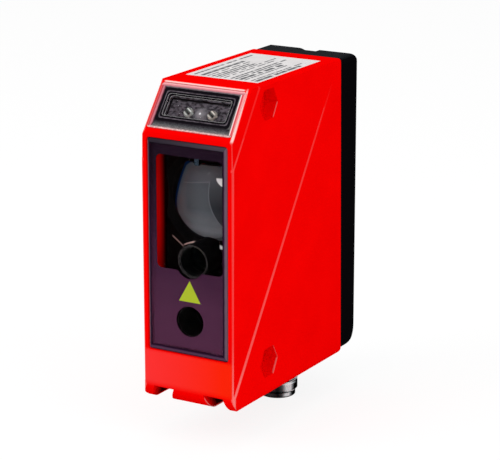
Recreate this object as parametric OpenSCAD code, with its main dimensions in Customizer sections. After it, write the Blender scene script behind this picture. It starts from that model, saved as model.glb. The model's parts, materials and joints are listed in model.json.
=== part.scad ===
// Optical distance sensor in a slim die-cast housing, in millimetres.
// The origin is the middle of the dovetail rail's underside, halfway between the front and the back.
// +Z is up, the window looks along -Y, and +X is to the right for someone who faces the window.
// Depths are counted from the front face and heights from the underside of the feet.

/* [Body] */
// Width across the side faces
body_w = 30; // [29:0.5:33]
// Depth from the front face to the back of the rear cover
overall_d = 70; // [68:0.5:78]
// Height from the underside of the feet to the top face
body_h = 90; // [88:0.5:100]
// Thickness of the side walls and the roof
wall_t = 1.7; // [1.5:0.1:2]
// Depth of the slanted front top edge
bevel_d = 10; // [9.5:0.1:11]
// Height of the slanted front top edge
bevel_h = 12.7; // [12.2:0.1:14]
// Thickness of the wall under the slanted edge
bevel_wall = 5.2; // [4.9:0.1:6]
// Rounding of the lower front edge
toe_r = 4; // [2:0.5:6]
// Rounding of the lower rear edge
heel_r = 1.2; // [0.6:0.1:2]
// Rounding of the feet's outer edges
foot_r = 1.9; // [1:0.1:1.9]
// How far the parting line stands back at the feet and forward at the top
part_lean = 0.95; // [0:0.05:1.1]
// Rounding of the upright front edges
edge_r = 1.2; // [0.6:0.1:1.4]
// Rounding of the long top edges
top_r = 1; // [0.5:0.1:1.5]

/* [Side facets] */
// Slope of the two creases on each side face
crease_angle = 55.4; // [52:0.2:58]
// Height at which the long crease would meet the front face
low_crease_z = 3.8; // [1:0.1:5]
// Distance from the top face down to where the short crease would meet the front face
high_crease_drop = 20.7; // [20:0.1:25]
// Depth of the step along the long crease at its lower end
crease_step = 0.45; // [0.2:0.05:0.7]
// Angle at which that step runs out towards the rear
crease_fade = 0.17; // [0.1:0.01:0.25]
// Depth of the step along the short crease
cheek_step = 0.05; // [0.02:0.01:0.2]
// Inward lean of the small facet beside the slanted edge
cheek_lean = 2.5; // [1:0.1:4]
// Chamfer along the sides of the slanted edge
bevel_chamfer = 0.55; // [0.3:0.05:0.7]

/* [Feet and dovetail] */
// Height of the dovetail grooves
groove_h = 4.1; // [3.5:0.1:5]
// Width of the rail at its root
rail_root_w = 9.8; // [8:0.1:11]
// Width of the rail at its underside
rail_base_w = 13; // [12:0.1:14.5]
// Width of each foot at the groove's ceiling
foot_root_w = 3.8; // [3.4:0.1:4.2]
// Width of each foot at its underside
foot_base_w = 2.5; // [2:0.1:3]
// Thickness of the floor above the grooves
base_t = 1.4; // [1.2:0.1:2.5]

/* [Mounting bolts] */
// Depth of both mounting holes
bolt_y = 18.9; // [18.5:0.1:23]
// Height of the lower mounting hole
low_bolt_z = 10.2; // [9.5:0.1:11]
// Distance from the top face down to the upper mounting hole
high_bolt_drop = 5.65; // [5.6:0.05:8]
// Diameter of the mounting holes
bolt_hole_d = 5.3; // [5:0.1:5.6]
// Width across flats of the nut recesses
nut_af = 8.3; // [7.6:0.1:8.4]
// Depth of the nut recesses
nut_depth = 4.2; // [3:0.1:5]
// Metal left around the nut recesses
nut_wall = 1.4; // [1.2:0.1:2]

/* [Window] */
// Red border beside the window
window_border = 2; // [1.6:0.05:2.2]
// Height of the window's lower edge
window_bottom = 14.9; // [14.6:0.1:18]
// Red strip between the window and the slanted edge
window_strip = 1.4; // [1.2:0.1:3]
// Corner radius of the window
window_r = 1; // [0.5:0.1:2]
// Thickness of the window glass
glass_t = 1.2; // [1:0.1:1.6]
// Chamfer around the front of the glass
glass_chamfer = 0.5; // [0.3:0.05:0.7]
// Thickness of the dark mask behind the glass
mask_t = 0.15; // [0.1:0.05:0.3]
// Thickness of the adhesive seal behind the mask
seal_t = 0.25; // [0.15:0.05:0.5]
// Width of the ledge that carries the window
ledge_w = 1.25; // [1:0.05:1.6]
// Thickness of that ledge
ledge_t = 1.3; // [1:0.1:2]
// Clearance around the glass
window_gap = 0.1; // [0.05:0.05:0.2]
// Dark strip beside the clear opening
mask_side = 2.4; // [2:0.05:3]
// Dark strip above the clear opening
mask_top = 4.7; // [3.8:0.1:6]
// Height of the dark field below the clear opening
mask_foot = 24; // [22:0.5:24.5]
// Corner radius of the clear opening
clear_r = 1.5; // [0.5:0.1:3]
// How far the mask covers the transmitter tube's rim
tube_cover = 0.2; // [0.1:0.05:0.4]
// Side of the coloured triangle
mark_side = 7; // [5:0.1:8]
// Height of the triangle's base above the window's lower edge
mark_rise = 15.3; // [14.6:0.1:16]

/* [Receiver] */
// Distance of the lens axis below the top of the clear opening
lens_drop = 13.8; // [13.5:0.1:15]
// Carrier material beside the lens
lens_rim = 0.9; // [0.8:0.05:1.5]
// Radius of the lens's front face
dome_r = 20; // [20:0.5:24]
// Thickness of the lens at its edge
lens_edge_t = 3; // [2:0.1:4]
// How much of the lens is cut off at its flat top
lens_cut = 2.5; // [2:0.1:3]
// Half width of the lens at its flat top
lens_top_hw = 7.9; // [7:0.1:9]
// Slope of the lens's trimmed sides from upright
lens_trim = 14.8; // [10:0.2:18]
// Width of the funnel around the lens
funnel_w = 1.8; // [1.4:0.1:2.2]
// Clearance around the lens
lens_gap = 0.1; // [0.05:0.05:0.2]
// Diameter of the detector can
detector_d = 8.2; // [7:0.1:9]
// Length of the detector can
detector_l = 4; // [3:0.1:6]
// Diameter of the window in the detector can
detector_window_d = 4.5; // [3:0.1:5]
// Depth of that window
detector_window_t = 0.3; // [0.2:0.05:0.5]
// Diameter of the light cone at the detector
cone_end_d = 6; // [4:0.1:6.4]
// Metal clip's width
clip_w = 9; // [8:0.5:12]
// Width of the clip's tongue in front of the lens
tongue_w = 1.4; // [1:0.1:2]
// Distance of the tongue from the lens's axis, to the left
tongue_x = 3; // [0:0.1:4]
// Height of the tongue above the lens's axis
tongue_top = 14; // [12:0.1:15]
// Metal clip's thickness
clip_t = 0.5; // [0.4:0.05:0.6]
// Diameter of the pin that holds the clip
clip_pin_d = 1.6; // [1.2:0.1:2]

/* [Transmitters] */
// Height of the transmitter tube's axis above the lower edge of the clear opening
tube_rise = 2.45; // [2:0.05:3]
// Outer diameter of the transmitter tube
tube_d = 9.5; // [9:0.1:9.7]
// Wall of the transmitter tube
tube_wall = 0.6; // [0.4:0.05:1]
// Depth of the tube's front end
tube_front = 2.9; // [2.3:0.05:4]
// Width of the stop behind the collimator, inside the tube
tube_stop = 0.7; // [0.4:0.1:1]
// Length of that stop
tube_stop_l = 1.2; // [0.8:0.1:2]
// Chamfer at the tube's front end
tube_chamfer = 0.3; // [0.1:0.05:0.4]
// Distance of the collimator behind the tube's front end
collimator_set = 4; // [3:0.1:8]
// Thickness of the collimator
collimator_t = 3; // [2:0.1:4]
// Radius of the collimator's front face
collimator_r = 8; // [7:0.5:12]
// Thickness of the laser diode's base
diode_base_t = 1.5; // [1:0.1:2]
// Diameter of the laser diode's cap
diode_cap_d = 5.4; // [4:0.1:6]
// Length of the laser diode's cap
diode_cap_l = 3.5; // [2:0.1:5]
// Length of the laser diode's wires
wire_l = 7.6; // [5:0.1:9]
// Diameter of the lasers' wires
wire_d = 0.5; // [0.4:0.05:0.6]
// Distance of the lasers' wires from the axis
wire_set = 1.2; // [1:0.1:1.4]
// Height of the round opening in the mask above the window's lower edge
aperture_rise = 9.6; // [8.5:0.1:10]
// Diameter of the round opening in the mask
aperture_d = 8.8; // [7:0.1:9]
// Diameter of the pointer laser's barrel
pointer_d = 7; // [6:0.1:7.4]
// Length of the pointer laser's barrel
pointer_l = 20; // [15:0.5:25]
// Diameter of the opening in the pointer laser's front
pointer_bore_d = 3.5; // [2:0.1:4]
// Depth of that opening
pointer_bore_l = 2; // [1:0.1:3]
// Outer diameter of the snout between the pointer laser and the mask
snout_d = 9.8; // [9:0.1:10]
// Wall of the snout
snout_wall = 0.7; // [0.6:0.05:1]
// Distance of the snout behind the window
snout_gap = 0.4; // [0.2:0.05:1]
// Clearance of the tubes in the carrier
tube_gap = 0.1; // [0.05:0.05:0.15]

/* [Carrier and boards] */
// Depth of the carrier's front face
carrier_front = 10.5; // [10:0.1:11]
// Clearance between the carrier and the side walls
carrier_gap = 0.2; // [0.1:0.05:0.4]
// Space between the carrier and the upper bolt boss
carrier_head = 0.8; // [0.6:0.1:3]
// Radius of the bosses that carry the optics
carrier_boss_r = 2.6; // [2.4:0.1:2.8]
// Thickness of the carrier under its screws' heads
carrier_seat = 4; // [3:0.5:5]
// Length of thread below a screw's seat
screw_grip = 4; // [3:0.5:4.5]
// Depth of the moulded pockets in the carrier's sides
pocket_depth = 2.6; // [1.5:0.1:2.8]
// Height of those pockets
pocket_h = 7; // [5:0.5:8]
// Height of the upper pocket above the lens's axis
pocket_rise = 4; // [3.5:0.5:5]
// Carrier material between the pointer laser and the lower pocket
pocket_space = 1.5; // [1.2:0.1:2]
// Thickness of the circuit boards
board_t = 1.6; // [1:0.1:1.8]
// Margin between the boards and the carrier's sides
board_margin = 0.7; // [0.4:0.1:1.5]
// Height of the boards' lower edge above the carrier's underside
board_rise = 3.5; // [3:0.1:6]
// Length of the spacers between the boards
spacer_l = 3.4; // [2.6:0.1:3.6]
// Length of the header between the main board and the operating panel
header_l = 3.6; // [3.2:0.1:4]
// Width of that header
header_w = 14; // [10:0.5:18]
// Thickness of that header
header_h = 3; // [2:0.1:4]
// Height of that header above the board's lower edge
header_rise = 28; // [20:0.5:30]
// Diameter of the spacers
spacer_d = 4; // [3.4:0.1:4.4]
// Height of the parts on the boards
part_h = 1.2; // [0.8:0.1:1.4]
// Diameter of the inner screws
screw_d = 2; // [1.8:0.1:2.2]
// Diameter of the inner screws' heads
screw_head_d = 3.6; // [3.2:0.1:3.8]
// Height of the inner screws' heads
screw_head_h = 1.4; // [1:0.1:1.5]
// Depth of the screw holes beyond the screws' ends
screw_reserve = 0.5; // [0.3:0.1:0.8]
// Material between the heads of the carrier's screws and the lower screws of the boards
screw_space = 1; // [0.8:0.1:2]
// Clearance of screws, heads and pins in their holes
screw_gap = 0.1; // [0.05:0.05:0.15]

/* [Indicators] */
// Red border beside the indicator pane
pane_border = 1.4; // [1.2:0.05:2]
// Red strip below the indicator pane, along the slope
pane_foot = 1.2; // [1:0.05:2]
// Red strip above the indicator pane, along the slope
pane_head = 0.8; // [0.6:0.05:1.2]
// Thickness of the indicator pane
pane_t = 1.4; // [1:0.1:1.5]
// Corner radius of the indicator pane
pane_r = 1.1; // [0.8:0.1:2.4]
// Clearance around the pane and the bezel
pane_gap = 0.1; // [0.05:0.05:0.2]
// Ledge beside the bezel
bezel_side = 1.9; // [1.6:0.1:2.4]
// Ledge above and below the bezel, along the slope
bezel_end = 2.1; // [1.8:0.1:2.4]
// Depth of the bezel's front edge under the slope
bezel_sink = 1.9; // [1.8:0.1:2.2]
// Corner radius of the bezel
bezel_r = 1.5; // [1.3:0.1:2]
// Depth of the bezel's seat under the slope
bezel_seat = 4.2; // [4:0.1:4.5]
// Width of the lip that the bezel rests on
bezel_lip = 1; // [0.8:0.1:1.2]
// Depth of the bezel's tray
tray_depth = 1.1; // [0.8:0.1:1.2]
// Width of the bezel's rim
bezel_rim = 1.1; // [0.8:0.1:1.4]
// Thickness of the bezel's floor
bezel_floor = 0.6; // [0.4:0.1:0.8]
// Width of the inner step in the bezel's rim
bezel_step = 0.55; // [0.4:0.05:0.7]
// Diameter of the low dome between the lamps
dome_d = 4; // [3:0.1:4.2]
// Height of the low dome
dome_h = 0.5; // [0.3:0.1:0.6]
// Diameter of the indicator lamps
lamp_d = 3; // [2.5:0.1:3]
// Distance between the indicator lamps
lamp_pitch = 7.6; // [6:0.1:9]
// Thickness of the lamp board
lamp_board_t = 1; // [0.8:0.1:1.2]

/* [Connector] */
// Distance from the connector's axis back to the housing's rear end
connector_set = 10.9; // [10.9:0.1:12]
// Distance of the connector's end below the feet
connector_drop = 11.4; // [9:0.1:14]
// Diameter of the connector's thread
thread_d = 12; // [11:0.1:12.4]
// Diameter of the plain end in front of the thread
pilot_d = 10.7; // [10.4:0.1:11]
// Length of that plain end
pilot_l = 1.4; // [1:0.1:2]
// Length of the chamfer between the plain end and the thread
lead_l = 0.8; // [0.5:0.1:1.2]
// Diameter of the flange under the housing
flange_d = 15.6; // [15:0.1:16.4]
// Thickness of the flange
flange_t = 1.7; // [1.5:0.1:2]
// Diameter of the neck through the floor
neck_d = 10; // [9.8:0.1:10.2]
// Diameter of the socket inside the shell
socket_d = 9.8; // [9.5:0.1:10]
// Depth of the socket in front of the insert
socket_depth = 8.7; // [7:0.1:9]
// Thickness of the insert's head
insert_head = 3.2; // [2.5:0.1:4]
// Diameter of the shell's bore behind the insert's head
core_d = 8.4; // [8:0.1:8.6]
// Length of the neck above the floor
neck_rise = 5; // [4:0.1:6]
// Width across flats of the lock nut
lock_af = 13; // [12:0.1:13]
// Thickness of the lock nut
lock_t = 2.2; // [1.5:0.1:3]
// Diameter of the contact pins
pin_d = 1; // [0.8:0.05:1.1]
// Radius of the circle of contact pins
pin_circle_r = 2.35; // [2.2:0.05:2.5]
// Width of the nose that codes the socket
key_w = 1.2; // [1:0.1:1.4]
// Distance of that nose inside the shell's end
key_set = 2.5; // [1.5:0.1:4]
// Distance of the pins' tips inside the shell's end
pin_set = 1.7; // [1:0.1:3]
// Length of the pins above the neck
pin_rise = 2.5; // [2:0.1:3]
// Thickness of the sealing ring, from inside to outside
ring_w = 1; // [0.8:0.1:1.1]
// Height of the sealing ring
ring_h = 0.8; // [0.6:0.1:1]
// Clearance of round parts that sit in each other
round_gap = 0.1; // [0.05:0.01:0.15]
// Thickness of the flexible lead
flex_t = 0.25; // [0.2:0.05:0.4]
// Height of the lead's slanted part
flex_bend = 2.5; // [2:0.1:4]
// Extra height of the lead's bends on their inner side
flex_fold = 0.1; // [0.05:0.05:0.2]
// Height of the lead's end on the main board
flex_end = 5.5; // [4:0.5:8]
// Width of the flexible lead
flex_w = 8; // [6:0.5:10]

/* [Rear end] */
// Depth of the rear cover
cover_d = 9; // [8:0.5:10]
// Height of the cover's lower edge above the feet
cover_bottom = 0.9; // [0.8:0.1:2]
// Corner radius of the cover, seen from behind
cover_r = 2.3; // [1.5:0.1:3]
// Rounding of the cover's lower rear edge
cover_low_r = 6; // [4:0.5:6.5]
// Rounding of the cover's upper rear edge
cover_top_r = 1.8; // [1:0.1:2.5]
// Thickness of the cover's back
cover_back = 1.8; // [1.5:0.1:2.5]
// Length of the cover's lip inside the housing
lip_l = 1.6; // [1.4:0.1:1.6]
// Thickness of the cover's lip
lip_t = 0.9; // [0.7:0.05:1.2]
// Clearance between the lip and the housing
lip_gap = 0.15; // [0.1:0.05:0.2]
// Width of the pry notch at the top
notch_top_w = 6.8; // [5:0.1:9]
// Width of the pry notch at its floor
notch_floor_w = 4.1; // [3:0.1:4.8]
// Depth of the pry notch below the top
notch_h = 0.85; // [0.5:0.05:1.2]
// Length of the pry notch from back to front
notch_l = 3.8; // [2:0.1:4]
// Thickness of the operating panel
panel_t = 2.4; // [2.1:0.1:2.4]
// Space between the lip and the operating panel
panel_gap = 0.3; // [0.2:0.05:0.3]
// Clearance around the operating panel
panel_fit = 0.15; // [0.1:0.05:0.2]
// Width of the panel seal from front to back
panel_seal_w = 1; // [0.8:0.1:1.1]
// Depth of the seal's groove in the panel's edge
panel_seal_h = 0.8; // [0.6:0.1:0.9]
// Distance of the panel screws from the inner side walls and the roof
boss_set = 3.2; // [3:0.1:3.4]
// Diameter of the panel screws' bosses
boss_d = 6.8; // [6.7:0.1:7.4]
// Length of the panel screws' bosses
boss_l = 7.5; // [6.5:0.1:7.6]
// Height of the lower panel screws above the rear floor
boss_rise = 8.5; // [8:0.1:8.8]
// Width of the display
display_w = 20; // [16:0.5:21]
// Height of the display
display_h = 15; // [10:0.5:16]
// Distance from the roof down to the display's upper edge
display_drop = 9; // [8:0.5:12]
// Thickness of the display
display_t = 4; // [3:0.1:5]
// Depth of the display's pocket
display_set = 1.2; // [0.8:0.1:1.5]
// Clearance around the display
display_gap = 0.1; // [0.05:0.05:0.2]
// Frame around the display's glass
display_frame = 1.5; // [1:0.1:2]
// Depth of the display's glass behind that frame
display_sink = 0.3; // [0.1:0.05:0.5]
// Width and height of the keypad
keypad_w = 20; // [16:0.5:21]
// Distance between the keypad and the display
keypad_space = 6; // [4:0.5:10]
// Thickness of the keypad's sheet
keypad_t = 0.9; // [0.6:0.1:1.2]
// Corner radius of the keypad
keypad_r = 1.5; // [1:0.1:2]
// Diameter of the keys
key_d = 6; // [4:0.5:7]
// Height of the keys above the sheet
key_h = 1.2; // [0.6:0.1:2]

/* [Label] */
// Red margin beside the label on top
label_margin = 3.4; // [1.5:0.1:4]
// Depth of the label's front edge
label_front = 18.3; // [12:0.1:20]
// Distance from the label's rear edge to the rear cover
label_back = 6.9; // [3:0.1:10]
// Thickness of the label
label_t = 0.15; // [0.1:0.05:0.3]

/* [Hidden] */
$fn = 64;

red = [0.86, 0.05, 0.04];
black = [0.06, 0.06, 0.07];
dark_grey = [0.2, 0.2, 0.22];
plum = [0.19, 0.12, 0.2];
board_green = [0.07, 0.3, 0.16];
steel = [0.72, 0.73, 0.75];
gold = [0.8, 0.67, 0.34];
lens_grey = [0.52, 0.57, 0.64, 0.6];
cut = 1;

// Parts on the boards, each as x, height up the board, width and height
receiver_parts = [[0, 34, 9, 9], [-4, 20, 7, 5], [5, 18, 5, 8], [0, 7, 10, 4]];
main_parts = [[0, 36, 12, 12], [-6, 12, 6, 6], [5, 13, 5, 9], [0, 4, 8, 4]];

half_w = body_w / 2;
house_d = overall_d - cover_d;
house_end = house_d + part_lean + cut;
inner_hw = half_w - wall_t;
roof_z = body_h - wall_t;
bevel_z = body_h - bevel_h;
bevel_angle = atan2(bevel_h, bevel_d);
bevel_l = norm([bevel_d, bevel_h]);
cheek_x = half_w - crease_step;

high_bolt_z = body_h - high_bolt_drop;
bolt_boss_d = nut_af / cos(30) + 2 * nut_wall;
floor_z = low_bolt_z + nut_af / 2 + nut_wall;
floor_end = bolt_y + bolt_boss_d / 2 + nut_wall;
rear_floor_z = groove_h + base_t;
connector_y = house_d - connector_set;

window_hw = half_w - window_border;
window_top = bevel_z - window_strip;
window_depth = glass_t + mask_t + seal_t;
front_wall = window_depth + ledge_t;
opening_hw = window_hw - ledge_w;
clear_hw = window_hw - mask_side;
clear_bottom = window_bottom + mask_foot;
clear_top = window_top - mask_top;
mark_z = window_bottom + mark_rise;

carrier_hw = inner_hw - carrier_gap;
lip_front = house_d - lip_l;
panel_back = lip_front - panel_gap;
panel_front = panel_back - panel_t;
main_back = panel_front - header_l;
main_front = main_back - board_t;
spacer_front = main_front - spacer_l;
carrier_back = spacer_front - board_t;
carrier_top = high_bolt_z - bolt_boss_d / 2 - carrier_head;
lens_r = carrier_hw - lens_rim;
lens_z = clear_top - lens_drop;
lens_top = lens_r - lens_cut;
lens_face = carrier_front + funnel_w;
lens_back = lens_face + lens_edge_t;
dome_y = lens_face + sqrt(pow(dome_r, 2) - pow(lens_r, 2));
clip_low_z = lens_z + sqrt(pow(dome_r, 2) - pow(dome_y - carrier_front, 2));
clip_pin_z = (lens_z + tongue_top + carrier_top - clip_t) / 2;
detector_front = carrier_back - detector_l;
tube_z = clear_bottom + tube_rise;
tube_r = tube_d / 2;
tube_bore_r = tube_r - tube_wall;
tube_back = carrier_back - wire_l;
collimator_y = tube_front + collimator_set;
aperture_z = window_bottom + aperture_rise;
cone_start_r = min(lens_z - tube_z - tube_r - tube_gap - tube_wall, lens_r - lens_rim);
seat_y = carrier_front + carrier_seat;
pointer_front = seat_y;
snout_front = window_depth + snout_gap;

board_hw = carrier_hw - board_margin;
board_z = floor_z + board_rise;
board_top = carrier_top - board_margin;
board_hole_x = board_hw - spacer_d / 2;
carrier_hole_x = inner_hw - carrier_boss_r;
carrier_hole_z = [floor_z + carrier_boss_r, carrier_top - carrier_boss_r];
board_hole_z = [carrier_hole_z[0] + spacer_d + screw_space, carrier_hole_z[1] - spacer_d];

pane_hw = half_w - pane_border;
pane_top = bevel_l - pane_head;
bezel_hw = pane_hw - bezel_side;
bezel_foot = pane_foot + bezel_end;
bezel_top = pane_top - bezel_end;
bezel_mid = (bezel_foot + bezel_top) / 2;
tray_floor = bezel_sink + tray_depth;
lamp_board_front = tray_floor + bezel_floor;

connector_end = -connector_drop;
insert_z = connector_end + socket_depth;
insert_top = insert_z + insert_head;
neck_top = rear_floor_z + neck_rise;
pin_top = neck_top + pin_rise;
flange_z = groove_h - flange_t;
rail_end = connector_y - flange_d / 2 - flange_t;
pin_places = concat([[0, 0]], [for (a = [45:90:315]) pin_circle_r * [cos(a), sin(a)]]);

boss_x = inner_hw - boss_set;
boss_z = [rear_floor_z + boss_rise, roof_z - boss_set];
display_top = roof_z - display_drop;
keypad_top = display_top - display_h - keypad_space;
keypad_z = keypad_top - keypad_w / 2;

// Depth of the parting line between housing and rear cover at a height
function parting(z) = house_d + part_lean * (1 - 2 * z / body_h);

// Model Y of a depth counted from the front face
function at(depth) = depth - overall_d / 2;

// Points of an arc about a centre, from one angle to another
function arc(cx, cy, r, from, to, steps = 6) =
    [for (i = [0:steps]) let (a = from + (to - from) * i / steps) [cx + r * cos(a), cy + r * sin(a)]];

// Outline of a rectangle with rounded corners
function round_box(x0, x1, y0, y1, r) = concat(
    arc(x1 - r, y1 - r, r, 0, 90), arc(x0 + r, y1 - r, r, 90, 180),
    arc(x0 + r, y0 + r, r, 180, 270), arc(x1 - r, y0 + r, r, 270, 360));

// A profile drawn as [depth, height], extruded across a width
module across(w) {
    translate([-w / 2, at(0), 0]) rotate([90, 0, 90]) linear_extrude(w) children();
}

// A profile drawn as [x, height], extruded from one depth to another
module deep(from, to) {
    translate([0, at(to), 0]) rotate([90, 0, 0]) linear_extrude(to - from) children();
}

// A profile drawn as [x, depth], extruded from one height to another
module tall(from, to) {
    translate([0, at(0), from]) linear_extrude(to - from) children();
}

// A rectangle drawn between two x values and two heights
module field(x0, x1, z0, z1) {
    translate([x0, z0]) square([x1 - x0, z1 - z0]);
}

// A round bar that points backwards from one depth to another
module bar(x, z, d, from, to) {
    translate([x, at(to), z]) rotate([90, 0, 0]) cylinder(d = d, h = to - from);
}

// A round bar that stands upright at the connector's axis
module post(d, from, to) {
    translate([0, at(connector_y), from]) cylinder(d = d, h = to - from);
}

// The frame of the slanted edge: x across, y up the slope and z out of it
module on_bevel() {
    translate([0, at(0), bevel_z]) rotate([bevel_angle, 0, 0]) children();
}

// A plate under the slope, between two depths below its face
module under_bevel(from, to) {
    on_bevel() translate([0, 0, -to]) linear_extrude(to - from) children();
}

// Copies for the left and the right
module both_sides() {
    children();
    mirror([1, 0, 0]) children();
}

// The four places of a set of screws
module four_places(x, heights) {
    for (sx = [-x, x], z = heights) translate([sx, 0, z]) children();
}

// One screw that points forwards, with its head behind the given depth
module screw(head_y, l) {
    bar(0, 0, screw_d, head_y - l, head_y);
    bar(0, 0, screw_head_d, head_y, head_y + screw_head_h);
}

// Housing: outer form

module side_profile() {
    polygon(concat(
        [[0, bevel_z]],
        arc(toe_r, toe_r, toe_r, 180, 270),
        arc(parting(heel_r) - heel_r, heel_r, heel_r, 270, 360, 4),
        [[parting(body_h), body_h], [bevel_d, body_h]]));
}

module plan_profile() {
    polygon(concat(
        arc(-half_w + edge_r, edge_r, edge_r, 180, 270),
        arc(half_w - edge_r, edge_r, edge_r, 270, 360),
        [[half_w, house_end], [-half_w, house_end]]));
}

module front_profile() {
    polygon(concat(
        arc(half_w - top_r, body_h - top_r, top_r, 0, 90, 4),
        arc(-half_w + top_r, body_h - top_r, top_r, 90, 180, 4),
        arc(-half_w + foot_r, foot_r, foot_r, 180, 270),
        arc(half_w - foot_r, foot_r, foot_r, 270, 360)));
}

// What a slanted crease takes off the right-hand side above and in front of it
module facet(z, x, step, lean, fade, reach) {
    translate([x, at(0), z]) rotate([crease_angle, 0, 0]) rotate([0, 0, -fade])
        translate([0, 2 * body_h, 0]) rotate([90, 0, 0]) linear_extrude(3 * body_h)
            polygon([
                [cut, -cut], [-step, step], [-step - (reach - step) * tan(lean), reach],
                [2 * cut, reach], [2 * cut, -cut]]);
}

module bevel_edge() {
    edge_x = cheek_x - bevel_chamfer / 2;
    on_bevel() translate([0, bevel_l + bevel_wall, 0]) rotate([90, 0, 0])
        linear_extrude(bevel_l + bevel_wall + cut) polygon([
            [edge_x - bevel_chamfer - cut, cut], [edge_x + cut, cut],
            [edge_x + cut, -bevel_chamfer - cut]]);
}

module blank() {
    difference() {
        intersection() {
            across(body_w) side_profile();
            tall(-cut, body_h + cut) plan_profile();
            deep(-cut, house_end) front_profile();
        }
        both_sides() {
            facet(low_crease_z, half_w, crease_step, 0, crease_fade, body_h);
            facet(body_h - high_crease_drop, cheek_x, cheek_step, cheek_lean, 0, bevel_h);
            bevel_edge();
        }
    }
}

// Housing: hollow and bosses

module hollow() {
    inner_y = front_wall;
    inner_z = bevel_z + (inner_y * sin(bevel_angle) - bevel_wall) / cos(bevel_angle);
    top_y = (bevel_wall + (roof_z - bevel_z) * cos(bevel_angle)) / sin(bevel_angle);
    across(2 * inner_hw) polygon([
        [inner_y, floor_z], [floor_end, floor_z], [floor_end, rear_floor_z],
        [house_end, rear_floor_z], [house_end, roof_z], [top_y, roof_z], [inner_y, inner_z]]);
}

module bosses() {
    intersection() {
        translate([-inner_hw - wall_t / 2, at(bolt_y), high_bolt_z]) rotate([0, 90, 0])
            cylinder(d = bolt_boss_d, h = 2 * inner_hw + wall_t);
        tall(high_bolt_z - bolt_boss_d, roof_z + wall_t / 2)
            field(-half_w, half_w, bolt_y - bolt_boss_d, bolt_y + bolt_boss_d);
    }
    four_places(carrier_hole_x, carrier_hole_z)
        bar(0, 0, 2 * carrier_boss_r, window_depth, carrier_front);
    four_places(boss_x, boss_z)
        bar(0, 0, boss_d, panel_front - boss_l, panel_front);
}

// Housing: what is cut through its walls

module window_cut() {
    deep(-cut, window_depth)
        polygon(round_box(-window_hw, window_hw, window_bottom, window_top, window_r));
    deep(-cut, front_wall)
        polygon(round_box(-opening_hw, opening_hw, window_bottom + ledge_w, window_top - ledge_w, window_r));
}

module bevel_cut() {
    under_bevel(-cut, pane_t)
        polygon(round_box(-pane_hw, pane_hw, pane_foot, pane_top, pane_r));
    under_bevel(-cut, bezel_seat) bezel_outline(pane_gap);
    under_bevel(-cut, bevel_wall + cut) bezel_outline(-bezel_lip);
}

module dovetail_cut() {
    both_sides() deep(-cut, house_end) polygon([
        [rail_base_w / 2, -cut], [rail_base_w / 2, 0], [rail_root_w / 2, groove_h],
        [half_w - foot_root_w, groove_h], [half_w - foot_base_w, 0], [half_w - foot_base_w, -cut]]);
    deep(rail_end, house_end)
        field(-half_w + foot_root_w + cut, half_w - foot_root_w - cut, -cut, groove_h);
}

module bolt_cut() {
    for (z = [low_bolt_z, high_bolt_z]) translate([0, at(bolt_y), z]) {
        rotate([0, 90, 0]) cylinder(d = bolt_hole_d, h = body_w + 2 * cut, center = true);
        both_sides() translate([half_w - nut_depth, 0, 0]) rotate([0, 90, 0]) rotate([0, 0, 30])
            cylinder(d = nut_af / cos(30), h = nut_depth + cut, $fn = 6);
    }
}

module screw_cut() {
    four_places(carrier_hole_x, carrier_hole_z)
        bar(0, 0, screw_d + screw_gap, carrier_front - screw_grip - screw_reserve, carrier_front + cut);
    four_places(boss_x, boss_z)
        bar(0, 0, screw_d + screw_gap, panel_front - screw_grip - screw_reserve, panel_front + cut);
}

module housing() {
    color(red) difference() {
        union() {
            difference() {
                blank();
                hollow();
            }
            bosses();
        }
        window_cut();
        bevel_cut();
        dovetail_cut();
        bolt_cut();
        screw_cut();
        post(neck_d + 2 * round_gap, groove_h - cut, rear_floor_z + cut);
        tall(body_h - label_t, body_h + cut)
            field(-half_w + label_margin, half_w - label_margin, label_front, house_d - label_back);
    }
}

// Window

module window_outline() {
    polygon(round_box(
        -window_hw + window_gap, window_hw - window_gap,
        window_bottom + window_gap, window_top - window_gap, window_r));
}

module glass_edge() {
    outer = window_hw - window_gap;
    low = window_bottom + window_gap;
    high = window_top - window_gap;
    c = glass_chamfer;
    both_sides() tall(low - cut, high + cut)
        polygon([[outer - c, 0], [outer + cut, c + cut], [outer + cut, -cut], [outer - c, -cut]]);
    across(body_w) polygon([[0, high - c], [c + cut, high + cut], [-cut, high + cut], [-cut, high - c]]);
    across(body_w) polygon([[0, low + c], [-cut, low + c], [-cut, low - cut], [c + cut, low - cut]]);
}

module window_glass() {
    color([0.75, 0.8, 0.84, 0.25]) difference() {
        deep(0, glass_t) window_outline();
        glass_edge();
    }
}

module clear_opening() {
    polygon(round_box(-clear_hw, clear_hw, clear_bottom, clear_top, clear_r));
    translate([0, tube_z]) circle(d = tube_d - 2 * tube_cover);
}

module mark_outline() {
    polygon([
        [-mark_side / 2, mark_z], [mark_side / 2, mark_z], [0, mark_z + mark_side * sin(60)]]);
}

module window_mask() {
    color(plum) deep(glass_t, glass_t + mask_t) difference() {
        window_outline();
        clear_opening();
        mark_outline();
        translate([0, aperture_z]) circle(d = aperture_d);
    }
}

module beam_mark() {
    color([0.85, 0.85, 0.1]) deep(glass_t, glass_t + mask_t) mark_outline();
}

module window_seal() {
    color(black) deep(glass_t + mask_t, window_depth) difference() {
        window_outline();
        polygon(round_box(-opening_hw, opening_hw, window_bottom + ledge_w, window_top - ledge_w, window_r));
    }
}

// Indicators under the slanted pane

module bezel_outline(grow) {
    polygon(round_box(
        -bezel_hw - grow, bezel_hw + grow, bezel_foot - grow, bezel_top + grow, bezel_r + grow));
}

module indicator_window() {
    color([0.9, 0.9, 0.92, 0.3]) under_bevel(0, pane_t) polygon(round_box(
        -pane_hw + pane_gap, pane_hw - pane_gap, pane_foot + pane_gap, pane_top - pane_gap, pane_r));
}

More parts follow.
